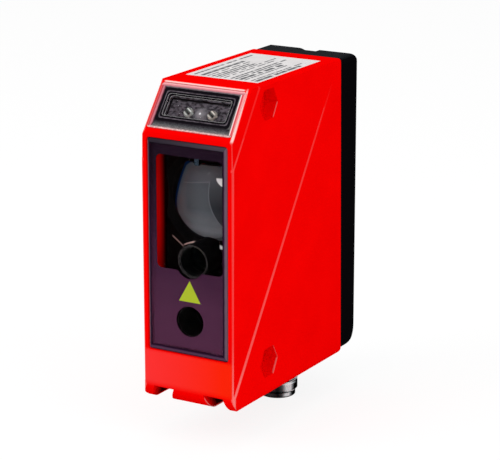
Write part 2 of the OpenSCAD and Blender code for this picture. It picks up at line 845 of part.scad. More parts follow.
module indicator_bezel() {
    dome_r = (pow(dome_d / 2, 2) + pow(dome_h, 2)) / (2 * dome_h);
    color(black) {
        difference() {
            under_bevel(bezel_sink, bezel_seat) bezel_outline(0);
            under_bevel(bezel_sink - cut, bezel_sink + tray_depth / 2) bezel_outline(-bezel_step);
            under_bevel(bezel_sink - cut, tray_floor) bezel_outline(-bezel_rim);
            under_bevel(lamp_board_front, bezel_seat + cut) bezel_outline(-bezel_rim);
            lamp_places() cylinder(d = lamp_d + screw_gap, h = bezel_seat);
        }
        // The low dome between the lamps
        on_bevel() translate([0, bezel_mid, -tray_floor]) intersection() {
            translate([0, 0, dome_h - dome_r]) sphere(r = dome_r);
            translate([0, 0, -bezel_floor / 2]) cylinder(d = dome_d, h = dome_h + bezel_floor);
        }
    }
}

// The places where the lamps stand on their board
module lamp_places(which = [-1, 1]) {
    on_bevel() for (i = which) translate([i * lamp_pitch / 2, bezel_mid, -lamp_board_front]) children();
}

module lamp(which) {
    base_h = bezel_floor - screw_gap;
    lamp_places([which]) {
        cylinder(d = lamp_d, h = base_h);
        intersection() {
            translate([0, 0, base_h]) sphere(d = lamp_d);
            cylinder(d = lamp_d + cut, h = base_h + lamp_d);
        }
    }
}

module lamp_green() {
    color([0.62, 0.68, 0.64]) lamp(-1);
}

module lamp_yellow() {
    color([0.72, 0.7, 0.62]) lamp(1);
}

module indicator_board() {
    color(board_green) under_bevel(lamp_board_front, lamp_board_front + lamp_board_t)
        bezel_outline(-bezel_rim - pane_gap);
}

// Optics

module lens_outline(grow) {
    slope = tan(lens_trim);
    low = 2 * lens_r;
    intersection() {
        translate([0, lens_z]) circle(r = lens_r + grow);
        translate([0, lens_z]) polygon([
            [-lens_top_hw - grow, lens_top + grow], [lens_top_hw + grow, lens_top + grow],
            [lens_top_hw + grow + (lens_top + low) * slope, -low],
            [-lens_top_hw - grow - (lens_top + low) * slope, -low]]);
    }
}

module receiver_lens() {
    color(lens_grey) difference() {
        intersection() {
            deep(lens_face - dome_r / 2, lens_back) lens_outline(0);
            translate([0, at(dome_y), lens_z]) sphere(r = dome_r);
        }
        bar(0, tube_z, tube_d + 6 * tube_gap, 0, lens_back + cut);
    }
}

module carrier_block() {
    difference() {
        deep(carrier_front, carrier_back) field(-carrier_hw, carrier_hw, floor_z, carrier_top);
        // Pockets in the sides, as a moulding has them
        both_sides() for (z = [aperture_z + pointer_d / 2 + pocket_space, lens_z + pocket_rise])
            translate([carrier_hw - pocket_depth, at(lens_back + pocket_depth), z])
                cube([pocket_depth + cut, carrier_back - lens_back - 3 * pocket_depth, pocket_h]);
    }
    // The pin that holds the clip
    bar(0, clip_pin_z, clip_pin_d, carrier_front - 2 * clip_t, carrier_front);
    // The snout in front of the pointer laser
    bar(0, aperture_z, snout_d, snout_front, carrier_front + snout_wall);
}

module optics_carrier() {
    color(black) difference() {
        carrier_block();
        deep(carrier_front - cut, lens_back) lens_outline(lens_gap);
        translate([0, at(lens_face), lens_z]) rotate([90, 0, 0])
            cylinder(r1 = lens_r + lens_gap, r2 = lens_r + lens_gap + funnel_w, h = funnel_w);
        translate([0, at(detector_front), lens_z]) rotate([90, 0, 0])
            cylinder(r1 = cone_end_d / 2, r2 = cone_start_r, h = detector_front - lens_back);
        bar(0, lens_z, detector_d + 2 * tube_gap, detector_front, carrier_back + cut);
        bar(0, tube_z, tube_d + 2 * tube_gap, carrier_front - cut, carrier_back + cut);
        bar(0, aperture_z, pointer_d + 2 * tube_gap, snout_front - cut, carrier_back + cut);
        bar(0, aperture_z, snout_d - 2 * snout_wall, snout_front - cut, carrier_front);
        four_places(carrier_hole_x, carrier_hole_z) {
            bar(0, 0, screw_d + screw_gap, carrier_front - cut, seat_y);
            bar(0, 0, screw_head_d + 4 * screw_gap, seat_y, carrier_back + cut);
        }
        four_places(board_hole_x, board_hole_z)
            bar(0, 0, screw_d + screw_gap, carrier_back - screw_grip - screw_reserve, carrier_back + cut);
    }
}

module lens_clip() {
    color(steel) difference() {
        deep(carrier_front - clip_t, carrier_front) {
            field(-clip_w / 2, clip_w / 2, lens_z + tongue_top, carrier_top - clip_t);
            field(-tongue_x - tongue_w / 2, -tongue_x + tongue_w / 2, clip_low_z, lens_z + tongue_top + clip_t);
        }
        bar(0, clip_pin_z, clip_pin_d + screw_gap, carrier_front - 2 * clip_t, carrier_front + cut);
    }
}

module receiver_detector() {
    color(steel) difference() {
        bar(0, lens_z, detector_d, detector_front, carrier_back);
        bar(0, lens_z, detector_window_d, detector_front - cut, detector_front + detector_window_t);
    }
}

module transmitter_tube() {
    color(dark_grey) difference() {
        bar(0, tube_z, tube_d, tube_front, tube_back);
        bar(0, tube_z, 2 * tube_bore_r, tube_front - cut, collimator_y + collimator_t);
        bar(0, tube_z, 2 * (tube_bore_r - tube_stop), tube_front, tube_back);
        bar(0, tube_z, 2 * tube_bore_r, collimator_y + collimator_t + tube_stop_l, tube_back + cut);
        translate([0, at(tube_front + tube_chamfer), tube_z]) rotate([90, 0, 0])
            cylinder(r1 = tube_bore_r, r2 = tube_bore_r + tube_chamfer, h = tube_chamfer);
    }
}

module collimator_lens() {
    color(lens_grey) intersection() {
        bar(0, tube_z, 2 * (tube_bore_r - round_gap / 2), collimator_y, collimator_y + collimator_t);
        translate([0, at(collimator_y + collimator_r), tube_z]) sphere(r = collimator_r);
    }
}

module laser_diode() {
    base_front = tube_back - diode_base_t;
    color(gold) {
        bar(0, tube_z, 2 * (tube_bore_r - round_gap / 2), base_front, tube_back);
        bar(0, tube_z, diode_cap_d, base_front - diode_cap_l, base_front);
        for (a = [0:120:240])
            bar(wire_set * cos(a), tube_z + wire_set * sin(a), wire_d, tube_back, carrier_back);
    }
}

module pointer_laser() {
    color(gold) {
        difference() {
            bar(0, aperture_z, pointer_d, pointer_front, pointer_front + pointer_l);
            bar(0, aperture_z, pointer_bore_d, pointer_front - cut, pointer_front + pointer_bore_l);
        }
        for (x = [-wire_set, wire_set]) bar(x, aperture_z, wire_d, pointer_front + pointer_l, carrier_back);
    }
}

module carrier_screws() {
    color(steel) four_places(carrier_hole_x, carrier_hole_z) screw(seat_y, carrier_seat + screw_grip);
}

// Circuit boards

module board_plate(from) {
    difference() {
        deep(from, from + board_t) field(-board_hw, board_hw, board_z, board_top);
        four_places(board_hole_x, board_hole_z)
            bar(0, 0, screw_d + 2 * screw_gap, from - cut, from + board_t + cut);
    }
}

// Housed parts on a board's rear face, given as [x, height up the board, width, height]
module board_parts(from, parts) {
    for (p = parts)
        deep(from, from + part_h) field(p[0] - p[2] / 2, p[0] + p[2] / 2, board_z + p[1], board_z + p[1] + p[3]);
}

module receiver_board() {
    color(board_green) {
        board_plate(carrier_back);
        board_parts(spacer_front, receiver_parts);
    }
}

module main_board() {
    color(board_green) {
        board_plate(main_front);
        board_parts(main_back, main_parts);
    }
}

module board_spacers() {
    color(gold) four_places(board_hole_x, board_hole_z) difference() {
        bar(0, 0, spacer_d, spacer_front, main_front);
        bar(0, 0, screw_d + 2 * screw_gap, spacer_front - cut, main_front + cut);
    }
}

module board_screws() {
    color(steel) four_places(board_hole_x, board_hole_z)
        screw(main_back, main_back - carrier_back + screw_grip);
}

module board_header() {
    low = board_z + header_rise;
    color(black) deep(main_back, panel_front) field(-header_w / 2, header_w / 2, low, low + header_h);
}

// Connector

module connector_shell() {
    color(steel) difference() {
        union() {
            post(pilot_d, connector_end, connector_end + pilot_l + lead_l);
            translate([0, at(connector_y), connector_end + pilot_l])
                cylinder(d1 = pilot_d, d2 = thread_d, h = lead_l);
            post(thread_d, connector_end + pilot_l + lead_l, flange_z);
            post(flange_d, flange_z, groove_h);
            post(neck_d, groove_h, neck_top);
        }
        post(socket_d, connector_end - cut, insert_top);
        post(core_d, connector_end, neck_top + cut);
        difference() {
            post(neck_d + 2 * round_gap + 2 * ring_w + 2 * round_gap, groove_h - ring_h, groove_h + cut);
            post(neck_d, groove_h - ring_h - cut, groove_h + 2 * cut);
        }
    }
}

module connector_ring() {
    inner_d = neck_d + 2 * round_gap;
    color(black) difference() {
        post(inner_d + 2 * ring_w, groove_h - ring_h, groove_h);
        post(inner_d, groove_h - ring_h - cut, groove_h + cut);
    }
}

module connector_nut() {
    color(steel) translate([0, at(connector_y), rear_floor_z]) difference() {
        cylinder(d = lock_af / cos(30), h = lock_t, $fn = 6);
        translate([0, 0, -cut]) cylinder(d = neck_d + 2 * round_gap, h = lock_t + 2 * cut);
    }
}

module pin_posts(d, from, to) {
    for (p = pin_places) translate([p[0], p[1], 0]) post(d, from, to);
}

module connector_insert() {
    color(black) difference() {
        union() {
            post(socket_d - 2 * round_gap, insert_z, insert_top);
            post(core_d - 2 * round_gap, insert_top - cut, neck_top);
            // The nose that codes the socket
            intersection() {
                translate([-key_w / 2, at(connector_y) + socket_d / 2 - key_w, connector_end + key_set])
                    cube([key_w, key_w, socket_depth]);
                post(socket_d - 2 * round_gap, connector_end, insert_top);
            }
        }
        pin_posts(pin_d + round_gap, insert_z - cut, neck_top + cut);
    }
}

module connector_pins() {
    color(gold) pin_posts(pin_d, connector_end + pin_set, pin_top);
}

module connector_lead() {
    near = connector_y - flex_t / 2;
    color([0.8, 0.45, 0.1]) across(flex_w) polygon([
        [near, pin_top], [near + flex_t, pin_top], [near + flex_t, board_z - flex_bend],
        [main_front, board_z], [main_front, board_z + flex_end],
        [main_front - flex_t, board_z + flex_end], [main_front - flex_t, board_z + flex_fold],
        [near, board_z - flex_bend + flex_fold]]);
}

// Rear end

// The housing's rear mouth, drawn smaller by an inset
module mouth(inset) {
    field(-inner_hw + inset, inner_hw - inset, rear_floor_z + inset, roof_z - inset);
}

// The display's outline, drawn smaller by an inset
module display_field(inset) {
    field(
        -display_w / 2 + inset, display_w / 2 - inset,
        display_top - display_h + inset, display_top - inset);
}

module operating_panel() {
    seal_front = panel_front + (panel_t - panel_seal_w) / 2;
    color(dark_grey) difference() {
        deep(panel_front, panel_back) mouth(panel_fit);
        deep(seal_front, seal_front + panel_seal_w) difference() {
            mouth(-cut);
            mouth(panel_fit + panel_seal_h);
        }
        deep(panel_back - display_set, panel_back + cut) display_field(-display_gap);
        four_places(boss_x, boss_z) {
            bar(0, 0, screw_d + 2 * screw_gap, panel_front - cut, panel_back + cut);
            bar(0, 0, screw_head_d + 2 * screw_gap, panel_back - screw_head_h, panel_back + cut);
        }
    }
}

module panel_seal() {
    seal_front = panel_front + (panel_t - panel_seal_w) / 2;
    color(black) deep(seal_front, seal_front + panel_seal_w) difference() {
        mouth(0);
        mouth(panel_fit + panel_seal_h);
    }
}

module panel_screws() {
    color(steel) four_places(boss_x, boss_z)
        screw(panel_back - screw_head_h, panel_t - screw_head_h + screw_grip);
}

module display_module() {
    front = panel_back - display_set;
    color([0.05, 0.08, 0.12]) difference() {
        deep(front, front + display_t) display_field(0);
        deep(front + display_t - display_sink, front + display_t + cut) display_field(display_frame);
    }
}

module keypad() {
    reach = keypad_w / 4;
    color([0.3, 0.31, 0.33]) {
        deep(panel_back, panel_back + keypad_t) polygon(round_box(
            -keypad_w / 2, keypad_w / 2, keypad_top - keypad_w, keypad_top, keypad_r));
        for (x = [-reach, reach], z = [-reach, reach])
            bar(x, keypad_z + z, key_d, panel_back + keypad_t, panel_back + keypad_t + key_h);
    }
}

module cover_profile() {
    polygon(concat(
        [[parting(cover_bottom), cover_bottom]],
        arc(overall_d - cover_low_r, cover_bottom + cover_low_r, cover_low_r, 270, 360, 10),
        arc(overall_d - cover_top_r, body_h - cover_top_r, cover_top_r, 0, 90),
        [[parting(body_h), body_h]]));
}

module rear_cover() {
    color(black) {
        difference() {
            intersection() {
                across(body_w) cover_profile();
                deep(house_d - part_lean, overall_d)
                    polygon(round_box(-half_w, half_w, cover_bottom, body_h, cover_r));
            }
            deep(house_d - part_lean - cut, overall_d - cover_back) mouth(lip_gap + lip_t);
            deep(overall_d - notch_l, overall_d + cut) polygon([
                [-notch_top_w / 2, body_h + cut], [-notch_top_w / 2, body_h],
                [-notch_floor_w / 2, body_h - notch_h], [notch_floor_w / 2, body_h - notch_h],
                [notch_top_w / 2, body_h], [notch_top_w / 2, body_h + cut]]);
        }
        deep(lip_front, house_d + lip_l) difference() {
            mouth(lip_gap);
            mouth(lip_gap + lip_t);
        }
    }
}

module type_label() {
    color([0.93, 0.93, 0.92]) tall(body_h - label_t, body_h)
        field(-half_w + label_margin, half_w - label_margin, label_front, house_d - label_back);
}

housing();
window_glass();
window_mask();
window_seal();
beam_mark();
indicator_window();
indicator_bezel();
indicator_board();
lamp_green();
lamp_yellow();
optics_carrier();
receiver_lens();
lens_clip();
receiver_detector();
transmitter_tube();
collimator_lens();
laser_diode();
pointer_laser();
carrier_screws();
receiver_board();
board_spacers();
main_board();
board_header();
board_screws();
connector_shell();
connector_insert();
connector_pins();
connector_ring();
connector_nut();
connector_lead();
operating_panel();
panel_seal();
panel_screws();
display_module();
keypad();
rear_cover();
type_label();
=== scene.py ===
"""Looks of a slim optical distance sensor: finishes, thread, print, studio and camera."""

import json
import math
import random

import bpy
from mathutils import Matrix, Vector


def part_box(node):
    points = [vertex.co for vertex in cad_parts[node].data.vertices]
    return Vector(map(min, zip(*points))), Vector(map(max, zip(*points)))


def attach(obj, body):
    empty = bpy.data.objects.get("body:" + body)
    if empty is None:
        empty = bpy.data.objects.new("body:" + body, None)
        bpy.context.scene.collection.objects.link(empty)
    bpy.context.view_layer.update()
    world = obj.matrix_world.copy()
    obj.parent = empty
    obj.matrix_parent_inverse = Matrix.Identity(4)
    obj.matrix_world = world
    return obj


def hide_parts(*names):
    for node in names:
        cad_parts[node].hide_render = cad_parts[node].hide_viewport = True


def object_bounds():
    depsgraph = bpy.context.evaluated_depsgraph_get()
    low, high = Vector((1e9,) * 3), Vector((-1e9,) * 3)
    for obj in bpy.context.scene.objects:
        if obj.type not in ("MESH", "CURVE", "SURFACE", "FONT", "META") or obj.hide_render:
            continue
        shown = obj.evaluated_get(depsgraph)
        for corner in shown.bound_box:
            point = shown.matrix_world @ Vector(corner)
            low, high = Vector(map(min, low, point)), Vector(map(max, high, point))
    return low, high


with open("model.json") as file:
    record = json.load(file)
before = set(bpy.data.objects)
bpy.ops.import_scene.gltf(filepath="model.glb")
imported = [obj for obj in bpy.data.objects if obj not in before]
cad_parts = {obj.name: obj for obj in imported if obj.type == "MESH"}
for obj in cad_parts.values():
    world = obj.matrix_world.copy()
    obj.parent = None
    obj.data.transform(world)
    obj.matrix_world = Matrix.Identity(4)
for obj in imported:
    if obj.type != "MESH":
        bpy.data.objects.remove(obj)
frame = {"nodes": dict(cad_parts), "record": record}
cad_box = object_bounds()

MM = 0.001
NODES = frame["nodes"]

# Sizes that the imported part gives, in millimetres
LABEL_LOW, LABEL_HIGH = (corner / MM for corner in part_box("type_label"))
SHELL_LOW, SHELL_HIGH = (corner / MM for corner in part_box("connector_shell"))
_, INSERT_HIGH = (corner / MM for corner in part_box("connector_insert"))
LENS_LOW, _ = (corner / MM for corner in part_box("receiver_lens"))

# The slanted edge, in millimetres: where it starts, how far it runs back and how high it rises
FRONT_Y = -35.0
BEVEL_Z = 77.3
BEVEL_D = 10.0
BEVEL_H = 12.7

# The frame and the lamps on the slanted edge, across it and up it
BEZEL_HALF_W = 11.7
BEZEL_LOW = 3.3
BEZEL_HIGH = 13.26
BEZEL_MIDDLE = (BEZEL_LOW + BEZEL_HIGH) / 2
BEZEL_WALL = 1.1
LAMP_SET = 3.8

# The pane over them: its inner edge, and the places where its bonded edges start
PANE_HALF_W = 11.85
PANE_HALF_H = 5.1
PANE_MIDDLE = 8.8
PANE_CORNER = 1.4
PANE_LEFT = -11.8
PANE_RIGHT = 11.9
PANE_LOW = 3.7
PANE_TOP = 13.85

# The window: where its chamfered border starts
WINDOW_LEFT = -11.85
WINDOW_RIGHT = 11.45
WINDOW_LOW = 16.65
WINDOW_TOP = 74.4

# The creases on the side faces: their slope, and how high they leave the front face
CREASE = math.radians(55.4)
LONG_CREASE_Z = 3.8
SHORT_CREASE_Z = 69.3

# The nut recesses in the side faces: their centres, how far a flat lies from one, and their turn
NUT_Y = -16.1
NUT_LOW_Z = 10.2
NUT_HIGH_Z = 84.35
NUT_REACH = 4.1
NUT_TURN = math.radians(30)
BODY_MIDDLE_Z = 47

# The receiver lens's axis and rim
LENS_Z = 57.4
LENS_R = 11.9


def srgb(red, green, blue):
    """A colour picked on a screen, 0 to 255, as Blender's linear values."""
    def channel(value):
        value = value / 255
        return value / 12.92 if value <= 0.04045 else ((value + 0.055) / 1.055) ** 2.4
    return (channel(red), channel(green), channel(blue), 1.0)


# Shader helpers

def feed(tree, node, inputs):
    """Links sockets to a node's inputs and sets the plain values."""
    for key, value in inputs.items():
        if isinstance(value, bpy.types.NodeSocket):
            tree.links.new(value, node.inputs[key])
        else:
            node.inputs[key].default_value = value


def add(tree, kind, inputs=None, **settings):
    """A new node with its settings, its input values and its links."""
    node = tree.nodes.new(kind)
    for key, value in settings.items():
        setattr(node, key, value)
    feed(tree, node, inputs or {})
    return node


def start(name):
    """A new material, its node tree and its Principled shader."""
    material = bpy.data.materials.new(name)
    material.use_nodes = True
    tree = material.node_tree
    return material, tree, tree.nodes["Principled BSDF"]


def place(tree):
    """The point in the row frame, in metres."""
    return add(tree, "ShaderNodeTexCoord").outputs["Object"]


def split(tree, vector):
    """A vector's three parts."""
    outputs = add(tree, "ShaderNodeSeparateXYZ", {0: vector}).outputs
    return outputs["X"], outputs["Y"], outputs["Z"]


def noise(tree, size, detail, stretch=(1, 1, 1)):
    """Soft noise from 0 to 1 whose grains are about size metres across."""
    scaled = add(tree, "ShaderNodeMapping", {"Vector": place(tree), "Scale": stretch})
    return add(
        tree, "ShaderNodeTexNoise",
        {"Vector": scaled.outputs[0], "Scale": 1 / size, "Detail": detail},
    ).outputs["Fac"]


def between(tree, value, low, high, from_low=0.3, from_high=0.7, smooth=False):
    """The value's range moved to low and high. The usual range is that of soft noise."""
    return add(
        tree, "ShaderNodeMapRange",
        {"Value": value, "From Min": from_low, "From Max": from_high, "To Min": low, "To Max": high},
        interpolation_type="SMOOTHSTEP" if smooth else "LINEAR",
    ).outputs["Result"]


def rising(tree, value, low, high, smooth=False):
    """0 before one place in millimetres, and 1 past another."""
    return between(tree, value, 0, 1, low * MM, high * MM, smooth)


def falling(tree, value, low, high, smooth=False):
    """1 before one place in millimetres, and 0 past another."""
    return between(tree, value, 1, 0, low * MM, high * MM, smooth)


def mix_colour(tree, share, first, second):
    """The second colour laid over the first by a share."""
    return add(tree, "ShaderNodeMix", {0: share, 6: first, 7: second}, data_type="RGBA").outputs[2]


def cloudy(tree, size, detail, first, second):
    """Two colours that run into each other in clouds of a size in metres."""
    return mix_colour(tree, between(tree, noise(tree, size, detail), 0, 1), first, second)


def calculate(tree, operation, first, second=0.0):
    """One step of arithmetic on two values."""
    return add(tree, "ShaderNodeMath", {0: first, 1: second}, operation=operation).outputs[0]


def chain(tree, operation, values):
    """The same step of arithmetic from each value to the next."""
    result = values[0]
    for value in values[1:]:
        result = calculate(tree, operation, result, value)
    return result


def product(tree, *values):
    """All values multiplied."""
    return chain(tree, "MULTIPLY", values)


def largest(tree, *values):
    """The largest of some values."""
    return chain(tree, "MAXIMUM", values)


def total(tree, *terms):
    """The sum of some terms, where a tuple stands for the product of what it holds."""
    return chain(tree, "ADD", [product(tree, *term) if isinstance(term, tuple) else term for term in terms])


def rest(tree, share):
    """What a share leaves of 1."""
    return calculate(tree, "SUBTRACT", 1.0, share)


def past(tree, value, mark):
    """How far a length in metres goes past a mark in millimetres."""
    return calculate(tree, "SUBTRACT", value, mark * MM)


def short_of(tree, value, mark):
    """How far a length in metres stays short of a mark in millimetres."""
    return calculate(tree, "SUBTRACT", mark * MM, value)


def radius_of(tree, first, second):
    """How far a point lies from the middle, along two directions together."""
    flat = add(tree, "ShaderNodeCombineXYZ", {0: first, 1: second}).outputs[0]
    return add(tree, "ShaderNodeVectorMath", {0: flat}, operation="LENGTH").outputs["Value"]


def within(tree, value, low, high, soft=0.2):
    """1 where a length lies between two places in millimetres, with soft ends."""
    return product(
        tree, rising(tree, value, low - soft, low + soft, True),
        falling(tree, value, high - soft, high + soft, True))


def line_at(tree, value, middle, width):
    """1 on a line of a width in millimetres, fading to 0 beside it."""
    away = calculate(tree, "ABSOLUTE", past(tree, value, middle))
    return falling(tree, away, 0.25 * width, 0.75 * width, True)


def bands(tree, value, stops):
    """Colours at places along a length. A stop is a place in millimetres, red, green and blue."""
    low, high = stops[0][0], stops[-1][0]
    node = add(tree, "ShaderNodeValToRGB", {"Fac": rising(tree, value, low, high)})
    elements = node.color_ramp.elements
    while len(elements) < len(stops):
        elements.new(0.5)
    for element, (position, *colour) in zip(elements, stops):
        element.position = (position - low) / (high - low)
        element.color = srgb(*colour)
    return node.outputs["Color"]


def rounded(tree, radius):
    """A normal that runs smoothly round the edges of a solid."""
    return add(tree, "ShaderNodeBevel", {"Radius": radius}, samples=6).outputs[0]


def along(tree, vector, direction):
    """How far a vector points along a direction."""
    node = add(tree, "ShaderNodeVectorMath", {0: vector, 1: direction}, operation="DOT_PRODUCT")
    return node.outputs["Value"]


def near_edge(tree, normal):
    """1 along the edges that the rounded normal runs round, and 0 on the faces."""
    flat = add(tree, "ShaderNodeNewGeometry").outputs["True Normal"]
    return between(tree, along(tree, normal, flat), 1, 0, 0.97, 0.9995, smooth=True)


def facing(tree, normal, direction, low, high):
    """1 where a normal points along a direction, and 0 where it points elsewhere."""
    return between(tree, along(tree, normal, direction), 0, 1, low, high, smooth=True)


def bumped(tree, height, depth, normal=None):
    """A normal over a surface whose unevenness is given by a value and a depth in metres."""
    inputs = {"Height": height, "Distance": depth, "Strength": 1.0}
    if normal is not None:
        inputs["Normal"] = normal
    return add(tree, "ShaderNodeBump", inputs).outputs[0]


def grain(tree, size, depth, normal=None):
    """A fine uneven surface, as a bumped normal."""
    return bumped(tree, noise(tree, size, 3.0), depth, normal)


def slope_place(tree):
    """The place on the slanted edge in metres: across, up the slope, and under its face."""
    across, depth, height = split(tree, place(tree))
    slope = math.hypot(BEVEL_D, BEVEL_H)
    back, rise = past(tree, depth, FRONT_Y), past(tree, height, BEVEL_Z)
    up = total(tree, (back, BEVEL_D / slope), (rise, BEVEL_H / slope))
    under = total(tree, (back, BEVEL_H / slope), (rise, -BEVEL_D / slope))
    return across, up, under


def lets_lamps_through(tree, shader):
    """Mixes a see-through shader in, so that lamps and room light reach what is behind glass."""
    path = add(tree, "ShaderNodeLightPath").outputs
    ray = largest(tree, path["Is Shadow Ray"], path["Is Diffuse Ray"])
    clear = add(tree, "ShaderNodeBsdfTransparent", {"Color": (0.97, 0.97, 0.97, 1)})
    mixed = add(tree, "ShaderNodeMixShader", {0: ray, 1: shader.outputs[0], 2: clear.outputs[0]})
    feed(tree, tree.nodes["Material Output"], {"Surface": mixed.outputs[0]})


def paint_over(material, share, colour):
    """Lays a colour over a material's own by a share."""
    tree = material.node_tree
    base = tree.nodes["Principled BSDF"].inputs["Base Color"]
    tree.links.new(mix_colour(tree, share, base.links[0].from_socket, colour), base)


# Finishes

def red_paint():
    """Satin red coat, with the light and the shade that the photo shows at its edges and recesses."""
    material, tree, shader = start("red_coat")
    smooth = rounded(tree, 0.45 * MM)
    across, depth, height = split(tree, place(tree))
    _, up, under = slope_place(tree)
    wide = calculate(tree, "ABSOLUTE", across)
    back = past(tree, depth, FRONT_Y)
    slope = product(tree, within(tree, under, -0.6, 0.6, 0.1), rising(tree, height, 76.8, 77.6))
    # The upright front edges: a painted highlight, brighter towards the foot
    sideways, _, _ = split(tree, smooth)
    upright = product(
        tree, facing(tree, smooth, (0, -1, 0), 0.3, 0.5),
        between(tree, calculate(tree, "ABSOLUTE", sideways), 0, 1, 0.2, 0.5, smooth=True),
        falling(tree, height, 77, 78), rising(tree, wide, 13.3, 13.6),
        between(tree, height, 0.2, 0.06, 4 * MM, 24 * MM, smooth=True))
    # The slanted edge's sides: painted highlights, the stronger on the right one, which faces the light
    right_side = total(tree, across, (short_of(tree, up, 8), -0.04))
    slanted = largest(
        tree, product(tree, line_at(tree, right_side, 13.7, 0.55), 0.62),
        product(tree, line_at(tree, across, -13.9, 0.5), 0.16))
    slanted = product(tree, slanted, slope, within(tree, up, -0.5, 15.6, 1.0))
    # The long and the short crease on the side faces: painted highlight lines
    long_crease, short_crease = (
        total(tree, (past(tree, height, foot), math.cos(CREASE)), (back, -math.sin(CREASE)))
        for foot in (LONG_CREASE_Z, SHORT_CREASE_Z))
    long_crease = product(
        tree, line_at(tree, long_crease, 0.2, 0.5), between(tree, height, 0.11, 0.04, 20 * MM, 56 * MM),
        falling(tree, height, 58, 84))
    short_crease = product(
        tree, line_at(tree, short_crease, 0.0, 0.4),
        between(tree, height, 0.07, 0.02, 69 * MM, 76 * MM))
    crease = product(tree, largest(tree, long_crease, short_crease), rising(tree, wide, 13.8, 14.1))
    # The nut recesses: a painted highlight on the lower rear side, a floor painted lighter so that it looks
    # as bright as the side, and a patch of painted shade high in front
    middle = between(
        tree, height, NUT_LOW_Z * MM, NUT_HIGH_Z * MM, BODY_MIDDLE_Z * MM, (BODY_MIDDLE_Z + 0.01) * MM)
    above = calculate(tree, "SUBTRACT", height, middle)
    behind = past(tree, depth, NUT_Y)
    outwards = total(tree, (behind, math.cos(NUT_TURN)), (above, -math.sin(NUT_TURN)))
    beside = total(tree, (behind, math.sin(NUT_TURN)), (above, math.cos(NUT_TURN)))
    rim = product(
        tree, line_at(tree, outwards, NUT_REACH, 0.4), within(tree, beside, -2.2, 2.2, 0.3),
        rising(tree, wide, 14.5, 14.7), 0.14)
    pocket = product(
        tree, within(tree, above, -5, 5), within(tree, behind, -5, 5), within(tree, wide, 11.5, 14.6, 0.1))
    dim = product(
        tree, pocket, rising(tree, above, 0.2, 1.4, True), falling(tree, behind, 0.8, 2.4, True), 0.62)
    # A painted highlight along the rail's root in the foot
    rail = product(
        tree, near_edge(tree, smooth), falling(tree, height, 4.0, 4.4), within(tree, across, 5.2, 8.4),
        facing(tree, smooth, (1, 0, 0), 0.3, 0.6), 0.34)
    # A painted highlight line on the rim above the pane
    lip = product(tree, slope, line_at(tree, up, 15.65, 0.45), within(tree, across, -12.8, 12.6, 0.4), 0.6)
    # All the painted highlights above, laid over the red as a pale colour
    glow = largest(tree, upright, slanted, crease, rim, rail, lip)
    # The plain front at the foot: a painted sheen, paler to the left, warmer to the right
    front = product(
        tree, facing(tree, smooth, (0, -1, 0), 0.9, 0.99), falling(tree, height, 14.0, 15.4, True),
        rising(tree, height, 3.6, 6, True), 0.72)
    warm = mix_colour(
        tree, rising(tree, across, -13, 11), (1.0, 0.045, 0.045, 1), (1.0, 0.024, 0.004, 1))
    # Shade in the foot's hollows, and on the narrow recess's floor towards its rear
    hollow = product(
        tree, rising(tree, back, 0.8, 5.0), within(tree, height, 0.35, 4.3, 0.1),
        within(tree, wide, 4.6, 12.9, 0.1), between(tree, along(tree, smooth, (0, -1, 0)), 1, 0, 0.6, 0.9),
        0.97)
    floor = product(
        tree, rising(tree, depth, -28.4, -24.9, True), within(tree, wide, 12.9, 13.6, 0.1),
        within(tree, height, 30, 76))
    body = cloudy(tree, 14 * MM, 3, (0.9, 0.0003, 0.0003, 1), (0.96, 0.0006, 0.0005, 1))
    body = mix_colour(tree, front, body, warm)
    # Painted light: the nut recesses' floors lighter than the red around them
    body = mix_colour(tree, pocket, body, (1.0, 0.0004, 0.0004, 1))
    body = mix_colour(tree, largest(tree, dim, hollow, floor), body, (0.004, 0.0, 0.0, 1))
    feed(tree, shader, {
        "Base Color": mix_colour(tree, glow, body, (1.0, 1.0, 0.95, 1)),
        "Roughness": between(tree, noise(tree, 0.35 * MM, 1), 0.37, 0.47),
        "Normal": grain(tree, 0.35 * MM, 0.006 * MM, smooth),
        "Specular IOR Level": 0.0})
    return material


def coated(name, colour, edge_colour, shine, rough, radius, edge_shine, texture):
    """A painted or moulded surface with a fine grain, and edges painted lighter as a highlight, with a coat
    on them that catches the light.
    """
    material, tree, shader = start(name)
    smooth = rounded(tree, radius)
    edge = near_edge(tree, smooth)
    darker = tuple(0.93 * value for value in colour[:3]) + (1,)
    body = cloudy(tree, 14 * MM, 3, darker, colour)
    # The lighter colour on the edges is a painted highlight
    feed(tree, shader, {
        "Base Color": mix_colour(tree, edge, body, edge_colour),
        "Roughness": between(tree, noise(tree, texture[0], 1), rough - 0.05, rough + 0.05),
        "Normal": grain(tree, *texture, smooth),
        "Specular IOR Level": shine,
        "Coat Weight": product(tree, edge, edge_shine),
        "Coat Normal": smooth,
        "Coat Roughness": 0.18})
    return material


def metal(name, colour, rough, streak=(1, 1, 1)):
    """Bare or plated metal with turning marks and edges a little lighter."""
    material, tree, shader = start(name)
    smooth = rounded(tree, 0.12 * MM)
    marks = noise(tree, 0.6 * MM, 3, streak)
    lighter_edge = tuple(min(1, 1.12 * value) for value in colour[:3]) + (1,)
    dull = tuple(0.8 * value for value in colour[:3]) + (1,)
    body = cloudy(tree, 5 * MM, 2, dull, colour)
    feed(tree, shader, {
        "Base Color": mix_colour(tree, near_edge(tree, smooth), body, lighter_edge),
        "Roughness": between(tree, marks, rough - 0.06, rough + 0.08),
        "Normal": bumped(tree, marks, 0.004 * MM, smooth),
        "Metallic": 1.0})
    return material


